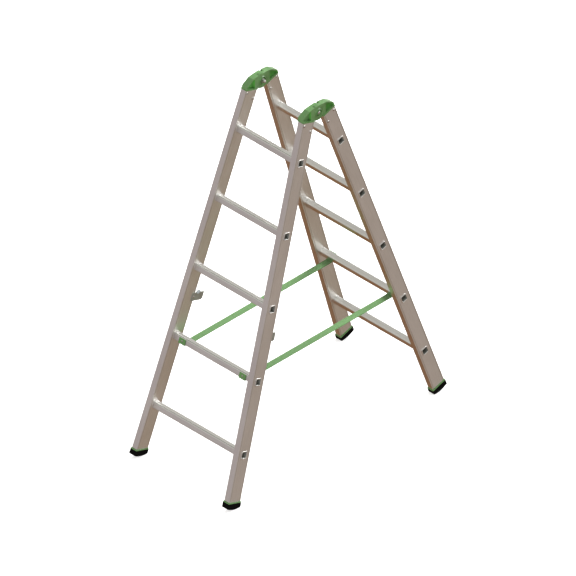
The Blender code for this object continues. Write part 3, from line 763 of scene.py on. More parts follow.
HINGE_X = 141.5 * MM
HINGE_HALF = 12.5 * MM               # half width along x
KNUCKLE_RADIUS = 32.0 * MM
RIM = 5.0 * MM
MOULD_RADIUS = 1.3 * MM              # rounding of outline corners
BASE_IN = 12.7 * MM
BASE_OUT = 75.0 * MM
BASE_LOW = -STILE_TOP + GAP
BASE_HIGH = -STILE_TOP + 5.6 * MM
BASE_OVER = 0.6 * MM                 # base plate past the stile's faces
# crown line of the opened hinge: level distance from the axis, height above it
CROWN_MID = (0.0, 29.5 * MM)
CROWN = (17.0 * MM, 28.6 * MM)
SHOULDER = (46.5 * MM, 25.3 * MM)


def crown_height(level):
    (y0, z0), (y1, z1), (y2, z2) = CROWN_MID, CROWN, SHOULDER
    if level <= y1:
        return z0 + (z1 - z0) * (level - y0) / (y1 - y0)
    return z1 + (z2 - z1) * (level - y1) / (y2 - y1)


# base and outer end of the moulding, then its pocket, in the rear frame's (y, z)
LOWER_OUTLINE = [
    (BASE_IN, BASE_LOW), (BASE_OUT, BASE_LOW),
    (BASE_OUT, -19.5 * MM), (74.3 * MM, -16.4 * MM), to_local(*SHOULDER),
]
POCKET = (
    (29.45 * MM, BASE_HIGH), to_local(36.5 * MM, crown_height(36.5 * MM) - RIM),
    (49.0 * MM, 5.2 * MM), (70.2 * MM, -19.5 * MM), (70.2 * MM, BASE_HIGH),
)
POCKET_FLOOR_OUT = 4.0 * MM          # pocket floors from the moulding's middle plane
POCKET_FLOOR_IN = -3.0 * MM

BOLT_RADIUS = 4.0 * MM
BORE_RADIUS = 4.3 * MM
BOSS_RADIUS = 15.5 * MM
BOSS_HEIGHT = 2.0 * MM
BOSS_RIM = 3.7 * MM
# raised ring with a broad outer bevel, then the lower seat: x, radius
BOSS_PROFILE = (
    (HINGE_HALF - 2 * MM, BOSS_RADIUS + 2.2 * MM), (HINGE_HALF, BOSS_RADIUS + 2.2 * MM),
    (HINGE_HALF + BOSS_RIM, BOSS_RADIUS - 1.5 * MM),
    (HINGE_HALF + BOSS_RIM, BOSS_RADIUS - 2.2 * MM),
    (HINGE_HALF + BOSS_HEIGHT, BOSS_RADIUS - 2.8 * MM),
)
# ring groove in the seat: x, radius
BOSS_GROOVE = (
    (HINGE_HALF - 1.6 * MM, 9.4 * MM), (HINGE_HALF - 1.6 * MM, 12.2 * MM),
    (HINGE_HALF + 4 * MM, 13.4 * MM), (HINGE_HALF + 4 * MM, 8.4 * MM),
)

SPIGOT_LENGTH = 52.0 * MM
# spigot rings: down, shrink
SPIGOT_RINGS = (
    (STILE_TOP - 2 * MM, 0.0), (STILE_TOP + SPIGOT_LENGTH - 4 * MM, 0.0),
    (STILE_TOP + SPIGOT_LENGTH, 3 * MM),
)


def crown_meets(radius):
    """Level distance at which a circle about the hinge axis comes out through the crown."""
    low, high = 0.0, radius
    for _ in range(60):
        level = (low + high) / 2
        if math.hypot(level, crown_height(level)) < radius:
            low = level
        else:
            high = level
    return low


def arc_points(radius, first, last, steps):
    """Points on a circle about the hinge axis, between two angles from the level."""
    angles = [first + (last - first) * k / steps for k in range(steps + 1)]
    return [to_local(radius * math.cos(a), radius * math.sin(a)) for a in angles]


def ends_sharp(corners):
    return eased(corners, MOULD_RADIUS, 3, skip=(0, len(corners) - 1))


def hollow_outline(slotted):
    """Outline of the side that clears the other half's knuckle."""
    notch, dip = (3.0 * MM, math.radians(11.0)) if slotted else (0.8 * MM, math.radians(2.5))
    radius = KNUCKLE_RADIUS + GAP
    level = crown_meets(radius)
    corners = list(LOWER_OUTLINE)
    if level + notch < CROWN[0]:
        corners.append(to_local(*CROWN))
    corners.append(to_local(level + notch, crown_height(level + notch)))
    first = math.atan2(crown_height(level), level) - dip
    corners += arc_points(radius, first, OPENING_HALF - math.acos(BASE_IN / radius), 40)
    return ends_sharp(corners)


def knuckle_outline(slotted):
    """Outline of the side that carries the knuckle round the axis."""
    radius = KNUCKLE_RADIUS
    level = crown_meets(radius)
    height = crown_height(level)
    corners = LOWER_OUTLINE + [to_local(*CROWN), to_local(*CROWN_MID)]
    if slotted:
        low = height - 7.0 * MM
        corners += [
            to_local(6.2 * MM - level, height), to_local(6.2 * MM - level, low),
            to_local(0.5 * MM - level, low),
        ]
        dip = 0.0
    else:
        corners.append(to_local(3.0 * MM - level, crown_height(level - 3.0 * MM)))
        dip = math.radians(11.0)
    last = 2 * math.pi - math.acos(BASE_IN / radius) + OPENING_HALF
    corners += arc_points(radius, math.atan2(height, -level) + dip, last, 64)
    return ends_sharp(corners)


def moulding(name, slotted):
    """The rear half about x = 0. Where the halves part on the crown there is a deep slot on
    one side and a shallow nick on the other; slotted picks the version."""
    body = prism(name, hollow_outline(slotted), -HINGE_HALF, 1.0 * MM, GREEN)
    boolean(body, prism("tool", knuckle_outline(slotted), GAP / 2, HINGE_HALF, GREEN), "UNION")
    pocket = eased(POCKET, 1.6 * MM, 4)
    past = HINGE_HALF + 5 * MM
    for x0, x1 in ((POCKET_FLOOR_OUT, past), (-past, POCKET_FLOOR_IN)):
        boolean(body, prism("tool", pocket, x0, x1, GREEN))
    boolean(body, turned_x("tool", BOSS_PROFILE, 64, GREEN), "UNION")
    boolean(body, turned_x("tool", BOSS_GROOVE, 64, GREEN, cyclic=True))
    bore = ((-5 * MM, BORE_RADIUS), (HINGE_HALF + 9 * MM, BORE_RADIUS))
    boolean(body, turned_x("tool", bore, 28, GREEN))
    return body


def beside(start, end, inner, point):
    """Distance of a point from a line, positive on the side where inner lies."""
    normal = Vector((-(end - start).y, (end - start).x)).normalized()
    return normal.dot(point - start) * (1.0 if normal.dot(inner - start) > 0 else -1.0)


def make_base_plate(out, side):
    """Plate over the whole end of the stile."""
    radius = KNUCKLE_RADIUS + GAP
    plate = [(BASE_IN, BASE_LOW), (BASE_OUT, BASE_LOW), (BASE_OUT, BASE_HIGH)]
    plate += arc_points(
        radius, OPENING_HALF - math.asin(-BASE_HIGH / radius),
        OPENING_HALF - math.acos(BASE_IN / radius), 12,
    )
    plate = eased(plate, MOULD_RADIUS, 3, skip=(0, 3, len(plate) - 1))
    plate = [(out * y, z) for y, z in plate]
    faces = sorted((side * (inner_x(0.0) - BASE_OVER), side * (outer_x(0.0) + BASE_OVER)))
    return prism("tool", plate, *faces, GREEN, stile_lean(side))


def make_spigot(name, label, out, side):
    """Plug of the hinge half inside the stile, a separate shell."""
    inset = STILE_WALL + GAP
    rings = [
        across_stile(stile_outline(-inset - shrink, 1.2 * MM, 3), out, side, down)
        for down, shrink in SPIGOT_RINGS
    ]
    spigot = loft(name, rings, GREEN)
    finish_shape(spigot, GREEN)
    mount(spigot, label)


def make_hinge_half(label, out, side_name, side):
    node = f"{label}_hinge_{side_name}"
    body = moulding(node, slotted=out < 0)
    if out < 0:
        body.data.transform(Matrix.Rotation(math.pi, 4, "Z"))
    body.data.transform(Matrix.Translation((side * HINGE_X, 0.0, 0.0)))
    boolean(body, make_base_plate(out, side), "UNION")
    finish_shape(body, GREEN, bevel=0.75 * MM, segments=3, angle=34.0, sharp=24.0)

    corners = [Vector(c) for c in POCKET]
    centre = sum(corners, Vector((0.0, 0.0))) / len(corners)

    def deep_in_pocket(face):
        x = abs(face.center.x - side * HINGE_X)
        point = Vector((face.center.y * out, face.center.z))
        if not (3.0 * MM < x < HINGE_HALF - 0.9 * MM) or face.normal.z > 0.7:
            return False
        return all(
            beside(corners[i - 1], corners[i], centre, point) > -0.3 * MM
            for i in range(len(corners))
        )

    # painted bounce light: faces deep in the pockets take the saturated pocket green, which stands
    # in for the light bouncing inside them
    paint(body, POCKET_PAINTED_BOUNCE, deep_in_pocket)
    make_spigot(node + "_spigot", label, out, side)
    mount(body, label, node)


# ---------------------------------------------------------- hinge fasteners
BOLT_SEAT = HINGE_X + HINGE_HALF + BOSS_HEIGHT + GAP     # x of the outer seat
WASHER_SEAT = HINGE_X - HINGE_HALF - BOSS_HEIGHT - GAP   # x of the inner seat
WASHER_THICK = 1.6 * MM
WASHER_RADIUS = 8.5 * MM
WASHER_EDGE = 0.3 * MM
WASHER_INNER = WASHER_SEAT - WASHER_THICK
NUT_FACE = WASHER_INNER - 2 * GAP
NUT_RADIUS = 7.5 * MM                # over the hexagon's corners
# all profiles below: x, radius
BOLT_PROFILE = [
    (BOLT_SEAT + 2.4 * MM, 0.3 * MM), (BOLT_SEAT + 2.38 * MM, 1.4 * MM),
    *quarter_arc((BOLT_SEAT + 0.4 * MM, 1.4 * MM), (1.95 * MM, 4.3 * MM), 8, first=1),
    (BOLT_SEAT, 5.8 * MM), (BOLT_SEAT, BOLT_RADIUS), (NUT_FACE - 6.5 * MM, BOLT_RADIUS),
]
BOLT_SOCKET = ((BOLT_SEAT + 1.0 * MM, 2.1 * MM), (BOLT_SEAT + 6 * MM, 2.1 * MM))
WASHER_PROFILE = (
    (WASHER_SEAT, BORE_RADIUS), (WASHER_SEAT, WASHER_RADIUS - WASHER_EDGE),
    (WASHER_SEAT - WASHER_EDGE, WASHER_RADIUS), (WASHER_INNER + WASHER_EDGE, WASHER_RADIUS),
    (WASHER_INNER, WASHER_RADIUS - WASHER_EDGE), (WASHER_INNER, BORE_RADIUS),
)
NUT_CHAMFER = (
    (NUT_FACE + 0.5 * MM, 5.9 * MM), (NUT_FACE, 6.55 * MM), (NUT_FACE - 1.3 * MM, 7.6 * MM),
    (NUT_FACE - 4.7 * MM, 7.6 * MM), (NUT_FACE - 6.3 * MM, 5.9 * MM),
)
NUT_DOME = [
    (NUT_FACE - 5.0 * MM, 5.55 * MM), (NUT_FACE - 6.6 * MM, 5.55 * MM),
    *reversed(quarter_arc((NUT_FACE - 6.8 * MM, 0.25 * MM), (-4.8 * MM, 5.25 * MM), 8)),
]
# the arc above runs from its crown, so it is reversed to start at the neck
NUT_BORE = (
    (NUT_FACE + 2 * MM, BORE_RADIUS), (NUT_FACE - 7.2 * MM, BORE_RADIUS),
    (NUT_FACE - 8.4 * MM, 1.0 * MM),
)

RIVETS = ((45.5 * MM, 63.0 * MM), (71.0 * MM, 24.0 * MM))    # down, depth
RIVET_RADIUS = 2.4 * MM
RIVET_HEAD_RADIUS = 5.2 * MM
RIVET_HEAD_HEIGHT = 2.3 * MM


def make_hinge_bolt(side_name, side):
    """Domed bolt with a hexagon socket, washer and cap nut."""
    node = f"hinge_bolt_{side_name}"
    bolt = turned_x(node, BOLT_PROFILE, 40, ZINC, side)
    boolean(bolt, turned_x("tool", BOLT_SOCKET, 6, ZINC, side))
    finish_shape(bolt, ZINC, sharp=35.0)
    mount(bolt, "front", node, AXIS_PLACE)

    node = f"hinge_washer_{side_name}"
    washer = turned_x(node, WASHER_PROFILE, 48, ZINC, side, cyclic=True)
    finish_shape(washer, ZINC, sharp=50.0)
    mount(washer, "front", node, AXIS_PLACE)

    # chamfered hexagon, neck and dome, blind bore
    node = f"hinge_cap_nut_{side_name}"
    hexagon = ((NUT_FACE, NUT_RADIUS), (NUT_FACE - 6.0 * MM, NUT_RADIUS))
    nut = turned_x(node, hexagon, 6, ZINC, side)
    boolean(nut, turned_x("tool", NUT_CHAMFER, 48, ZINC, side), "INTERSECT")
    boolean(nut, turned_x("tool", NUT_DOME, 48, ZINC, side), "UNION")
    boolean(nut, turned_x("tool", NUT_BORE, 24, ZINC, side))
    finish_shape(nut, ZINC, sharp=28.0)
    mount(nut, "front", node, AXIS_PLACE)


def rivet_head(seat, direction, height):
    """Rivet head from crown to seat, a slice of a ball on a thin lip: (x, radius) pairs."""
    steps, lip, radius = 8, 0.35 * MM, RIVET_HEAD_RADIUS
    edge = 2.0 * math.atan((height - lip) / radius)
    ball = radius / math.sin(edge)
    points = []
    for k in range(steps + 1):
        angle = edge * max(k, 0.35) / steps
        rise = lip + ball * (math.cos(angle) - math.cos(edge))
        points.append((seat + direction * rise, ball * math.sin(angle)))
    points.append((seat, radius))
    return points


def make_hinge_rivet(label, out, side_name, side, index):
    down, depth = RIVETS[index]
    node = f"{label}_hinge_rivet_{side_name}_{index + 1}"
    outer, inner = outer_x(down) + 0.05 * MM, inner_x(down) - 0.05 * MM
    along = {"side": side, "centre": (out * depth, -down), "lean": stile_lean(side, down)}
    height = RIVET_HEAD_HEIGHT + 1.0 * MM
    profile = rivet_head(outer, 1, height) + [(outer, RIVET_RADIUS), (inner, RIVET_RADIUS)]
    profile += reversed(rivet_head(inner, -1, height))
    rivet = turned_x(node, profile, 28, ZINC, **along)
    # small round recess in each head
    for seat, direction in ((outer, 1), (inner, -1)):
        recess = (
            (seat + direction * (RIVET_HEAD_HEIGHT - 0.35 * MM), 0.85 * MM),
            (seat + direction * 6 * MM, 1.1 * MM),
        )
        boolean(rivet, turned_x("tool", recess, 16, ZINC, **along))
    finish_shape(rivet, ZINC, sharp=38.0)
    mount(rivet, label, node)


# ====================================================================== feet
FOOT_OVER = 2.8 * MM                 # collar past the stile's faces
FOOT_RADIUS = STILE_RADIUS + FOOT_OVER * 0.6
PLUG_TOP = STILE_END - 38.0 * MM
PLUG_INSET = STILE_WALL + GAP
COLLAR_TOP = STILE_END + 0.1 * MM
COLLAR_END = STILE_END + 5.0 * MM
# plug and collar rings: down, grow from the stile's outline, corner radius
FOOT_RINGS = (
    (PLUG_TOP, -PLUG_INSET - 1.5 * MM, 0.8 * MM),
    (PLUG_TOP + 3 * MM, -PLUG_INSET, 0.8 * MM),
    (COLLAR_TOP, -PLUG_INSET, 0.8 * MM),
    (COLLAR_TOP, FOOT_OVER - 2.1 * MM, FOOT_RADIUS - 1.4 * MM),
    (COLLAR_TOP + 0.5 * MM, FOOT_OVER - 1.15 * MM, FOOT_RADIUS - 0.8 * MM),
    (COLLAR_TOP + 1.2 * MM, FOOT_OVER - 0.35 * MM, FOOT_RADIUS - 0.2 * MM),
    (COLLAR_TOP + 2.0 * MM, FOOT_OVER, FOOT_RADIUS),
    (COLLAR_END - 0.4 * MM, FOOT_OVER, FOOT_RADIUS),
    (COLLAR_END, FOOT_OVER - 0.4 * MM, FOOT_RADIUS - 0.3 * MM),
)
# sole underside: depth, drop below the stile's end
SOLE_IN, SOLE_MID, SOLE_OUT = (10.5 * MM, 22.0 * MM), (45.0 * MM, 29.0 * MM), (76.1 * MM, 25.0 * MM)
SOLE_FLAT = 10.0 * MM                # ground facet at the sole's inner edge
SOLE_GROOVE_PITCH = 5.4 * MM
SOLE_GROOVE_DEPTH = 1.3 * MM


def sole_bottom(depth):
    """Distance down to the parabola through the sole's three stations."""
    (x0, y0), (x1, y1), (x2, y2) = SOLE_IN, SOLE_MID, SOLE_OUT
    return STILE_END + (
        y0 * (depth - x1) * (depth - x2) / ((x0 - x1) * (x0 - x2))
        + y1 * (depth - x0) * (depth - x2) / ((x1 - x0) * (x1 - x2))
        + y2 * (depth - x0) * (depth - x1) / ((x2 - x0) * (x2 - x1))
    )


def sole_outline():
    """Convex, grooved sole as (depth, down), with a facet level on the ground."""
    inner, outer = SOLE_IN[0], SOLE_OUT[0]
    facet_end = inner + SOLE_FLAT
    top = COLLAR_END + 0.1 * MM
    points = [(outer, top), (inner, top)]
    points += [(d, (HINGE_Z + d * SIN_HALF) / COS_HALF) for d in (inner, facet_end)]
    start = facet_end + 3.0 * MM
    while start < outer - 5.0 * MM:
        floor_end, end = start + 1.7 * MM, start + 2.2 * MM
        points += [
            (start, sole_bottom(start)),
            (start + 0.5 * MM, sole_bottom(start) - SOLE_GROOVE_DEPTH),
            (floor_end, sole_bottom(floor_end) - SOLE_GROOVE_DEPTH),
            (end, sole_bottom(end)),
        ]
        start += SOLE_GROOVE_PITCH
    points.append((outer - 1.2 * MM, sole_bottom(outer - 1.2 * MM)))
    points.append((outer, sole_bottom(outer) - 0.6 * MM))
    return points


def make_foot(label, out, side_name, side):
    node = f"{label}_foot_plug_{side_name}"
    rings = [
        across_stile(stile_outline(grow, radius, 5), out, side, down)
        for down, grow, radius in FOOT_RINGS
    ]
    plug = loft(node, rings, GREEN)
    finish_shape(plug, GREEN, sharp=50.0)
    mount(plug, label, node)

    node = f"{label}_foot_sole_{side_name}"
    outline = [(out * depth, -down) for depth, down in sole_outline()]
    half = STILE_WIDTH / 2 + FOOT_OVER - 0.1 * MM
    x = side * mid_x(0.0)
    sole = prism(node, outline, x - half, x + half, RUBBER, stile_lean(side))
    finish_shape(sole, RUBBER, bevel=0.45 * MM, segments=2, angle=50.0, sharp=45.0)
    mount(sole, label, node)


# ==================================================================== straps
# level distance and height where the band turns, and where it leaves the clip
PIVOT_Y, PIVOT_Z = level_and_height(
    DEPTH_MID - RUNG_HALF - 1.5 * MM, STRAP_DOWN + RUNG_HALF + 1.4 * MM)
MOUTH_Y, MOUTH_Z = level_and_height(
    DEPTH_MID - RUNG_HALF + 2.4 * MM, STRAP_DOWN + RUNG_HALF + 1.5 * MM)
LEVEL_FROM = PIVOT_Y - 6 * MM        # the band is level from here to the middle
STRAP_COLUMNS = 15
STITCH_ROWS, STITCH_COUNT = 3, 9
STITCH_FIRST = 14.0 * MM             # first row from the pivot
STITCH_PITCH = 6.0 * MM
STITCH_HALF = (1.15 * MM, 0.42 * MM, 0.22 * MM)    # half size along x, y, z
# stitch rings: place along its half length, thickness
STITCH_RINGS = ((-1.0, 0.35), (-0.6, 0.9), (0.6, 0.9), (1.0, 0.35))

CLIP_WIDTH = 31.0 * MM
CLIP_THICK = 3.0 * MM
CLIP_LIP = 2.4 * MM                  # thickness of the part under the rung
SCREW_DOWN = STRAP_DOWN + 2.2 * MM
SCREW_RADIUS = 1.6 * MM


def strap_centre_line():
    """(level distance, height) from the clip's mouth to the middle of the ladder."""
    line = []
    steps = 10
    for k in range(steps + 1):
        t = k / steps
        smooth = t * t * (3 - 2 * t)
        line.append((
            MOUTH_Y + (LEVEL_FROM - MOUTH_Y) * t, MOUTH_Z + (PIVOT_Z - MOUTH_Z) * smooth
        ))
    y = LEVEL_FROM
    while y > 34 * MM:
        y -= 2.0 * MM if y > PIVOT_Y - 30 * MM else 8.0 * MM
        line.append((y, PIVOT_Z))
    line.append((0.02 * MM, PIVOT_Z))
    return line


def make_stitch(x, y, z, out):
    length, width, height = STITCH_HALF
    turns = [2 * math.pi * k / 8 for k in range(8)]
    rings = [
        [
            (x + length * place, out * (y + width * thick * math.cos(a)),
             z + height * thick * math.sin(a))
            for a in turns
        ]
        for place, thick in STITCH_RINGS
    ]
    return loft("stitch", rings, THREAD, sharp=80.0)


def make_strap(label, out, side_name, side):
    """Half of the band: from the clip under the rung's inner edge, then level to the middle."""
    node = f"{label}_strap_{side_name}"
    middle = side * STRAP_X
    half_width, half_thick = STRAP_WIDTH / 2, STRAP_THICK / 2

    def section(y, z):
        top, low = [], []
        for column in range(STRAP_COLUMNS + 1):
            t = -1 + 2 * column / STRAP_COLUMNS
            edge = max(0.0, (abs(t) - 0.90) / 0.10)
            thick = half_thick * (1 - 0.55 * edge * edge)    # selvedge thins out
            x = middle + half_width * t
            top.append((x, out * y, z + thick))
            low.append((x, out * y, z - thick))
        return top + list(reversed(low))

    band = loft(node, [section(y, z) for y, z in strap_centre_line()], WEBBING, sharp=60.0)
    # raised thread rows on both faces
    pieces = [band]
    for row in range(STITCH_ROWS):
        y = PIVOT_Y - (STITCH_FIRST + STITCH_PITCH * row)
        for column in range(STITCH_COUNT):
            x = middle + (-0.8 + 1.6 * (column + 0.5) / STITCH_COUNT) * half_width
            for face in (1, -1):
                z, height = PIVOT_Z + face * half_thick, face
                pieces.append(make_stitch_on(x, y, z, out, height))
    bpy.ops.object.select_all(action="DESELECT")
    for piece in pieces:
        piece.select_set(True)
    bpy.context.view_layer.objects.active = band
    bpy.ops.object.join()
    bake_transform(band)
    band.name = node + "_look"
    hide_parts(node)


def make_stitch_on(x, y, z, out, face):
    """Stitch on the upper (face 1) or lower (face -1) side of the band."""
    length, width, height = STITCH_HALF
    turns = [2 * math.pi * k / 8 for k in range(8)]
    rings = [
        [
            (x + length * place, out * (y + width * thick * math.cos(a)),
             z + face * height * thick * math.sin(a))
            for a in turns
        ]
        for place, thick in STITCH_RINGS
    ]
    return loft("stitch", rings, THREAD, sharp=80.0)


del make_stitch


def make_clip(label, out, side_name, side):
    """Angle over the rung's climbing face and underside, with a dished seat for the screw."""
    node = f"{label}_strap_clip_{side_name}"
    face = DEPTH_MID + RUNG_HALF + 0.1 * MM
    outside = face + CLIP_THICK
    top = STRAP_DOWN - 7.5 * MM
    low = STRAP_DOWN + RUNG_HALF + 0.1 * MM
    inner = DEPTH_MID - RUNG_HALF + 2.6 * MM
    outline = [
        (face, -top), (outside, -top), (outside, -low - CLIP_LIP),
        (inner, -low - CLIP_LIP), (inner, -low), (face, -low),
    ]
    outline = [(out * y, z) for y, z in eased(outline, 1.6 * MM, 4, skip=(0, 4, 5))]
    x = side * STRAP_X
    clip = prism(node, outline, x - CLIP_WIDTH / 2, x + CLIP_WIDTH / 2, GREEN)
    centre = (x, -SCREW_DOWN)
    dish = ((out * (outside - 0.7 * MM), 4.3 * MM), (out * (outside + 2 * MM), 5.2 * MM))
    boolean(clip, turned_y("tool", dish, 32, GREEN, centre))
    hole = [(out * y, SCREW_RADIUS + GAP) for y in (face - 2 * MM, face + 6 * MM)]
    boolean(clip, turned_y("tool", hole, 20, GREEN, centre))
    finish_shape(clip, GREEN, bevel=0.6 * MM, segments=3, angle=40.0, sharp=45.0)
    mount(clip, label, node)
    make_clip_screw(label, out, side_name, x, seat=outside - 0.6 * MM)


def make_clip_screw(label, out, side_name, x, seat):
    """Domed screw with a cross recess."""
    node = f"{label}_strap_screw_{side_name}"
    tip = DEPTH_MID + RUNG_HALF - 6 * MM
    profile = quarter_arc((seat + 0.3 * MM, 0.3 * MM), (1.5 * MM, 3.1 * MM), 6)
    profile += [
        (seat, 3.4 * MM), (seat, SCREW_RADIUS), (tip + 1 * MM, SCREW_RADIUS),
        (tip, SCREW_RADIUS * 0.5),
    ]
    profile = [(out * y, radius) for y, radius in profile]
    screw = turned_y(node, profile, 28, ZINC, (x, -SCREW_DOWN))
    recess_y = out * (seat + 1.2 * MM + 1.0 * MM)
    for half_x, half_z in ((0.45 * MM, 1.9 * MM), (1.9 * MM, 0.45 * MM)):
        bm = bmesh.new()
        size = Matrix.Diagonal((2 * half_x, 2 * MM, 2 * half_z, 1))
        place = Matrix.Translation((x, recess_y, -SCREW_DOWN))
        bmesh.ops.create_cube(bm, size=1.0, matrix=place @ size)
        boolean(screw, mesh_object("tool", bm, ZINC))
    finish_shape(screw, ZINC, sharp=38.0)
    mount(screw, label, node)


# ============================================================ transport lugs
LUG_TOP = 859.5 * MM
LUG_BOTTOM = 893.0 * MM
LUG_OUTER = 27.0 * MM                # depths of the two ends
LUG_REACH = -31.0 * MM
LUG_CUT = 6 * MM                     # cut-off lower corner
LUG_THICK = 2.5 * MM
LUG_RIVET_DOWN, LUG_RIVET_DEPTH = 876.0 * MM, 20.0 * MM
HUMP_DEPTH = 1.0 * MM                # hump on the top edge
HUMP_RADIUS = 9.5 * MM
HUMP_STEPS = 14
PAD_DOWN = LUG_TOP - 3.0 * MM


def lug_face(down):
    """x of the lug's face towards the middle."""
    return inner_x(down) - GAP - LUG_THICK


def make_lug_plate(side_name, side, out):
    node = f"transport_lug_{side_name}"
    points = [(LUG_OUTER, -LUG_TOP)]
    for i in range(HUMP_STEPS + 1):
        angle = math.pi * i / HUMP_STEPS
        points.append((
            HUMP_DEPTH + HUMP_RADIUS * math.cos(angle), -LUG_TOP + HUMP_RADIUS * math.sin(angle)
        ))
    points += [
        (LUG_REACH, -LUG_TOP), (LUG_REACH, -LUG_BOTTOM + LUG_CUT),
        (LUG_REACH + LUG_CUT, -LUG_BOTTOM), (LUG_OUTER, -LUG_BOTTOM),
    ]
    points = eased(points, 1.6 * MM, 4, skip=range(1, HUMP_STEPS + 2))
    points = [(out * y, z) for y, z in points]
    faces = sorted((side * (inner_x(0.0) - GAP), side * lug_face(0.0)))
    plate = prism(node, points, *faces, LUG_METAL, stile_lean(side))
    finish_shape(plate, LUG_METAL, bevel=0.45 * MM, segments=2, angle=45.0, sharp=40.0)
    mount(plate, "front", node)


def make_lug_rivet(side_name, side, out):
    node = f"transport_lug_rivet_{side_name}"
    down = LUG_RIVET_DOWN
    face = lug_face(down)
    back = inner_x(down) + STILE_WALL
    profile = rivet_head(face, -1, RIVET_HEAD_HEIGHT) + [
        (face, RIVET_RADIUS), (back, RIVET_RADIUS), (back, RIVET_RADIUS + 0.9 * MM),
        (back + 1.6 * MM, RIVET_RADIUS + 0.4 * MM),
    ]
    rivet = turned_x(
        node, profile, 28, ZINC, side, (out * LUG_RIVET_DEPTH, -down), stile_lean(side, down)
    )
    finish_shape(rivet, ZINC, sharp=38.0)
    mount(rivet, "front", node)


def make_lug_pad(side_name, side, out):
    """Domed button on the hump."""
    node = f"transport_lug_pad_{side_name}"
    face = lug_face(PAD_DOWN)
    profile = [(face - 5.0 * MM, 0.4 * MM)]
    profile += quarter_arc((face - 0.8 * MM, 0.4 * MM), (-4.2 * MM, 8.4 * MM), 9, first=1)
    profile += [(face, 8.6 * MM), (face, 3.0 * MM), (face + LUG_THICK, 3.0 * MM)]
    pad = turned_x(
        node, profile, 40, PALE, side, (out * HUMP_DEPTH, -PAD_DOWN), stile_lean(side, PAD_DOWN)
    )
    finish_shape(pad, PALE, sharp=45.0)
    mount(pad, "front", node)


# ================================================================== assembly
for label, out in FRAMES:
    for side_name, side in SIDES:
        make_stile(label, out, side_name, side)
    for i in range(RUNG_COUNT):
        make_rung(label, out, i)
    for side_name, side in SIDES:
        make_hinge_half(label, out, side_name, side)
        make_foot(label, out, side_name, side)
        make_strap(label, out, side_name, side)
        make_clip(label, out, side_name, side)
        for i in range(len(RIVETS)):
            make_hinge_rivet(label, out, side_name, side, i)
for side_name, side in SIDES:
    make_hinge_bolt(side_name, side)
    for make_part in (make_lug_plate, make_lug_rivet, make_lug_pad):
        make_part(side_name, side, out=-1)


# ===================================================================== stage
# world colour by the height of the direction: z from -1 to 1, colour
SKY = (
    (-1.00, (0.158, 0.052, 0.010)),
    (-0.80, (0.205, 0.074, 0.016)),
    (-0.67, (0.300, 0.238, 0.165)),
    (-0.56, (0.390, 0.335, 0.262)),
    (-0.15, (0.325, 0.254, 0.294)),
    (0.10, (0.540, 0.530, 0.485)),
    (0.45, (0.560, 0.555, 0.510)),
    (0.80, (0.475, 0.465, 0.420)),
    (1.00, (0.560, 0.560, 0.540)),
)
# soft lights in the world: direction, angle where it fades out, angle of full strength, strength
SOFT_LIGHTS = (
    ((0.50, 0.07, 0.86), 45.0, 5.0, 0.12),      # broad, overhead
    ((0.40, 0.73, 0.55), 19.0, 9.0, 6.5),       # small and bright, behind
    ((-0.55, 0.74, -0.38), 30.0, 10.0, 0.5),    # pale, behind on the left, low
)


def make_floor():
    bm = bmesh.new()
    bmesh.ops.create_grid(bm, x_segments=1, y_segments=1, size=14.0)
    mat = Surface("floor_paint")
    soft = mat.noise(0.8, detail=2.0, roughness=0.5)
    color = mat.mix(mat.span(soft), (0.80, 0.80, 0.80), (0.82, 0.82, 0.82))
    mat.finish(color=color, roughness=0.9, metallic=0.0, specular=0.0)
    mat.shader.inputs["Emission Color"].default_value = (1.0, 1.0, 1.0, 1.0)
    mat.shader.inputs["Emission Strength"].default_value = 0.62
    floor = mesh_object("floor", bm, mat.material)
    floor.location = (0, 0, -0.0005)
    floor.visible_glossy = False
    floor.visible_diffuse = False
    floor.visible_transmission = False


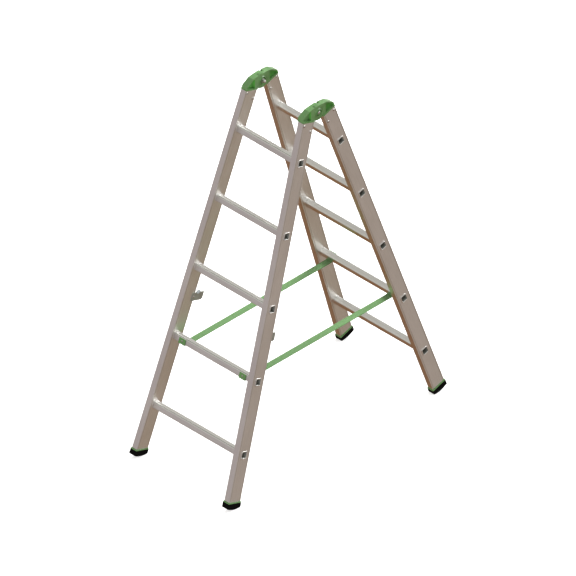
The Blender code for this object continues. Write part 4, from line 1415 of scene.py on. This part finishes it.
def make_world():
    world = bpy.data.worlds.new("studio")
    bpy.context.scene.world = world
    world.use_nodes = True
    world.node_tree.nodes.clear()
    sky = Nodes(world.node_tree)
    output = sky.add("ShaderNodeOutputWorld")
    background = sky.add("ShaderNodeBackground")
    direction = sky.coord("Generated")
    ramp = sky.add("ShaderNodeValToRGB")
    elements = ramp.color_ramp.elements
    while len(elements) < len(SKY):
        elements.new(0.5)
    for element, (z, color) in zip(elements, SKY):
        element.position = (z + 1) / 2
        element.color = (*color, 1.0)
    sky.feed(ramp.inputs["Fac"], sky.span(sky.axes(direction)["Z"], source=(-1.0, 1.0)))
    unit = sky.add("ShaderNodeVectorMath", operation="NORMALIZE")
    sky.feed(unit.inputs[0], direction)
    total = ramp.outputs["Color"]
    for aim, wide, tight, strength in SOFT_LIGHTS:
        dot = sky.add("ShaderNodeVectorMath", operation="DOT_PRODUCT")
        sky.feed(dot.inputs[0], unit.outputs["Vector"])
        dot.inputs[1].default_value = Vector(aim).normalized()
        lobe = sky.span(
            dot.outputs["Value"],
            source=(math.cos(math.radians(wide)), math.cos(math.radians(tight))),
            to=(0.0, strength), interpolation_type="SMOOTHSTEP",
        )
        total = sky.mix(1.0, total, sky.grey(lobe), "ADD")
    rays = sky.add("ShaderNodeLightPath").outputs
    # diffuse surfaces get a little less of it, and the camera sees plain off-white
    total = sky.mix(rays["Is Diffuse Ray"], total, (0.80, 0.80, 0.80), "MULTIPLY")
    total = sky.mix(rays["Is Camera Ray"], total, (0.97, 0.97, 0.97))
    sky.feed(background.inputs["Color"], total)
    background.inputs["Strength"].default_value = 1.0
    sky.feed(output.inputs[0], background.outputs[0])


def aim_along(ob, direction):
    ob.rotation_mode = "QUATERNION"
    ob.rotation_quaternion = direction.to_track_quat("-Z", "Y")


def area_light(name, location, target, size, power):
    light = bpy.data.lights.new(name, "AREA")
    light.shape = "DISK"
    light.size = size
    light.energy = power
    light.color = (1, 1, 1)
    ob = bpy.data.objects.new(name, light)
    bpy.context.scene.collection.objects.link(ob)
    ob.location = location
    aim_along(ob, Vector(target) - Vector(location))
    ob.visible_glossy = False
    ob.visible_camera = False


def make_camera():
    """Parallel projection at the viewing angle of an isometric."""
    data = bpy.data.cameras.new("camera")
    data.type = "ORTHO"
    data.ortho_scale = 2.0554
    data.clip_end = 60.0
    camera = bpy.data.objects.new("camera", data)
    bpy.context.scene.collection.objects.link(camera)
    back = Vector((1.0, -1.0, 1.0)).normalized()
    below_axis, distance = 0.8441, 6.0
    camera.location = Vector((0.0, 0.0, HINGE_Z - below_axis)) + back * distance
    aim_along(camera, -back)
    bpy.context.scene.camera = camera


make_floor()
make_world()
LADDER_MID = (0.0, 0.0, 0.8)
area_light("key", location=(-2.8, 4.6, 3.6), target=LADDER_MID, size=3.6, power=610.0)
area_light("fill", location=(2.4, -4.9, 1.5), target=LADDER_MID, size=2.6, power=140.0)
make_camera()
view = bpy.context.scene.view_settings
view.view_transform = "Standard"
view.look = "None"
view.exposure = 0.0
view.gamma = 1.0
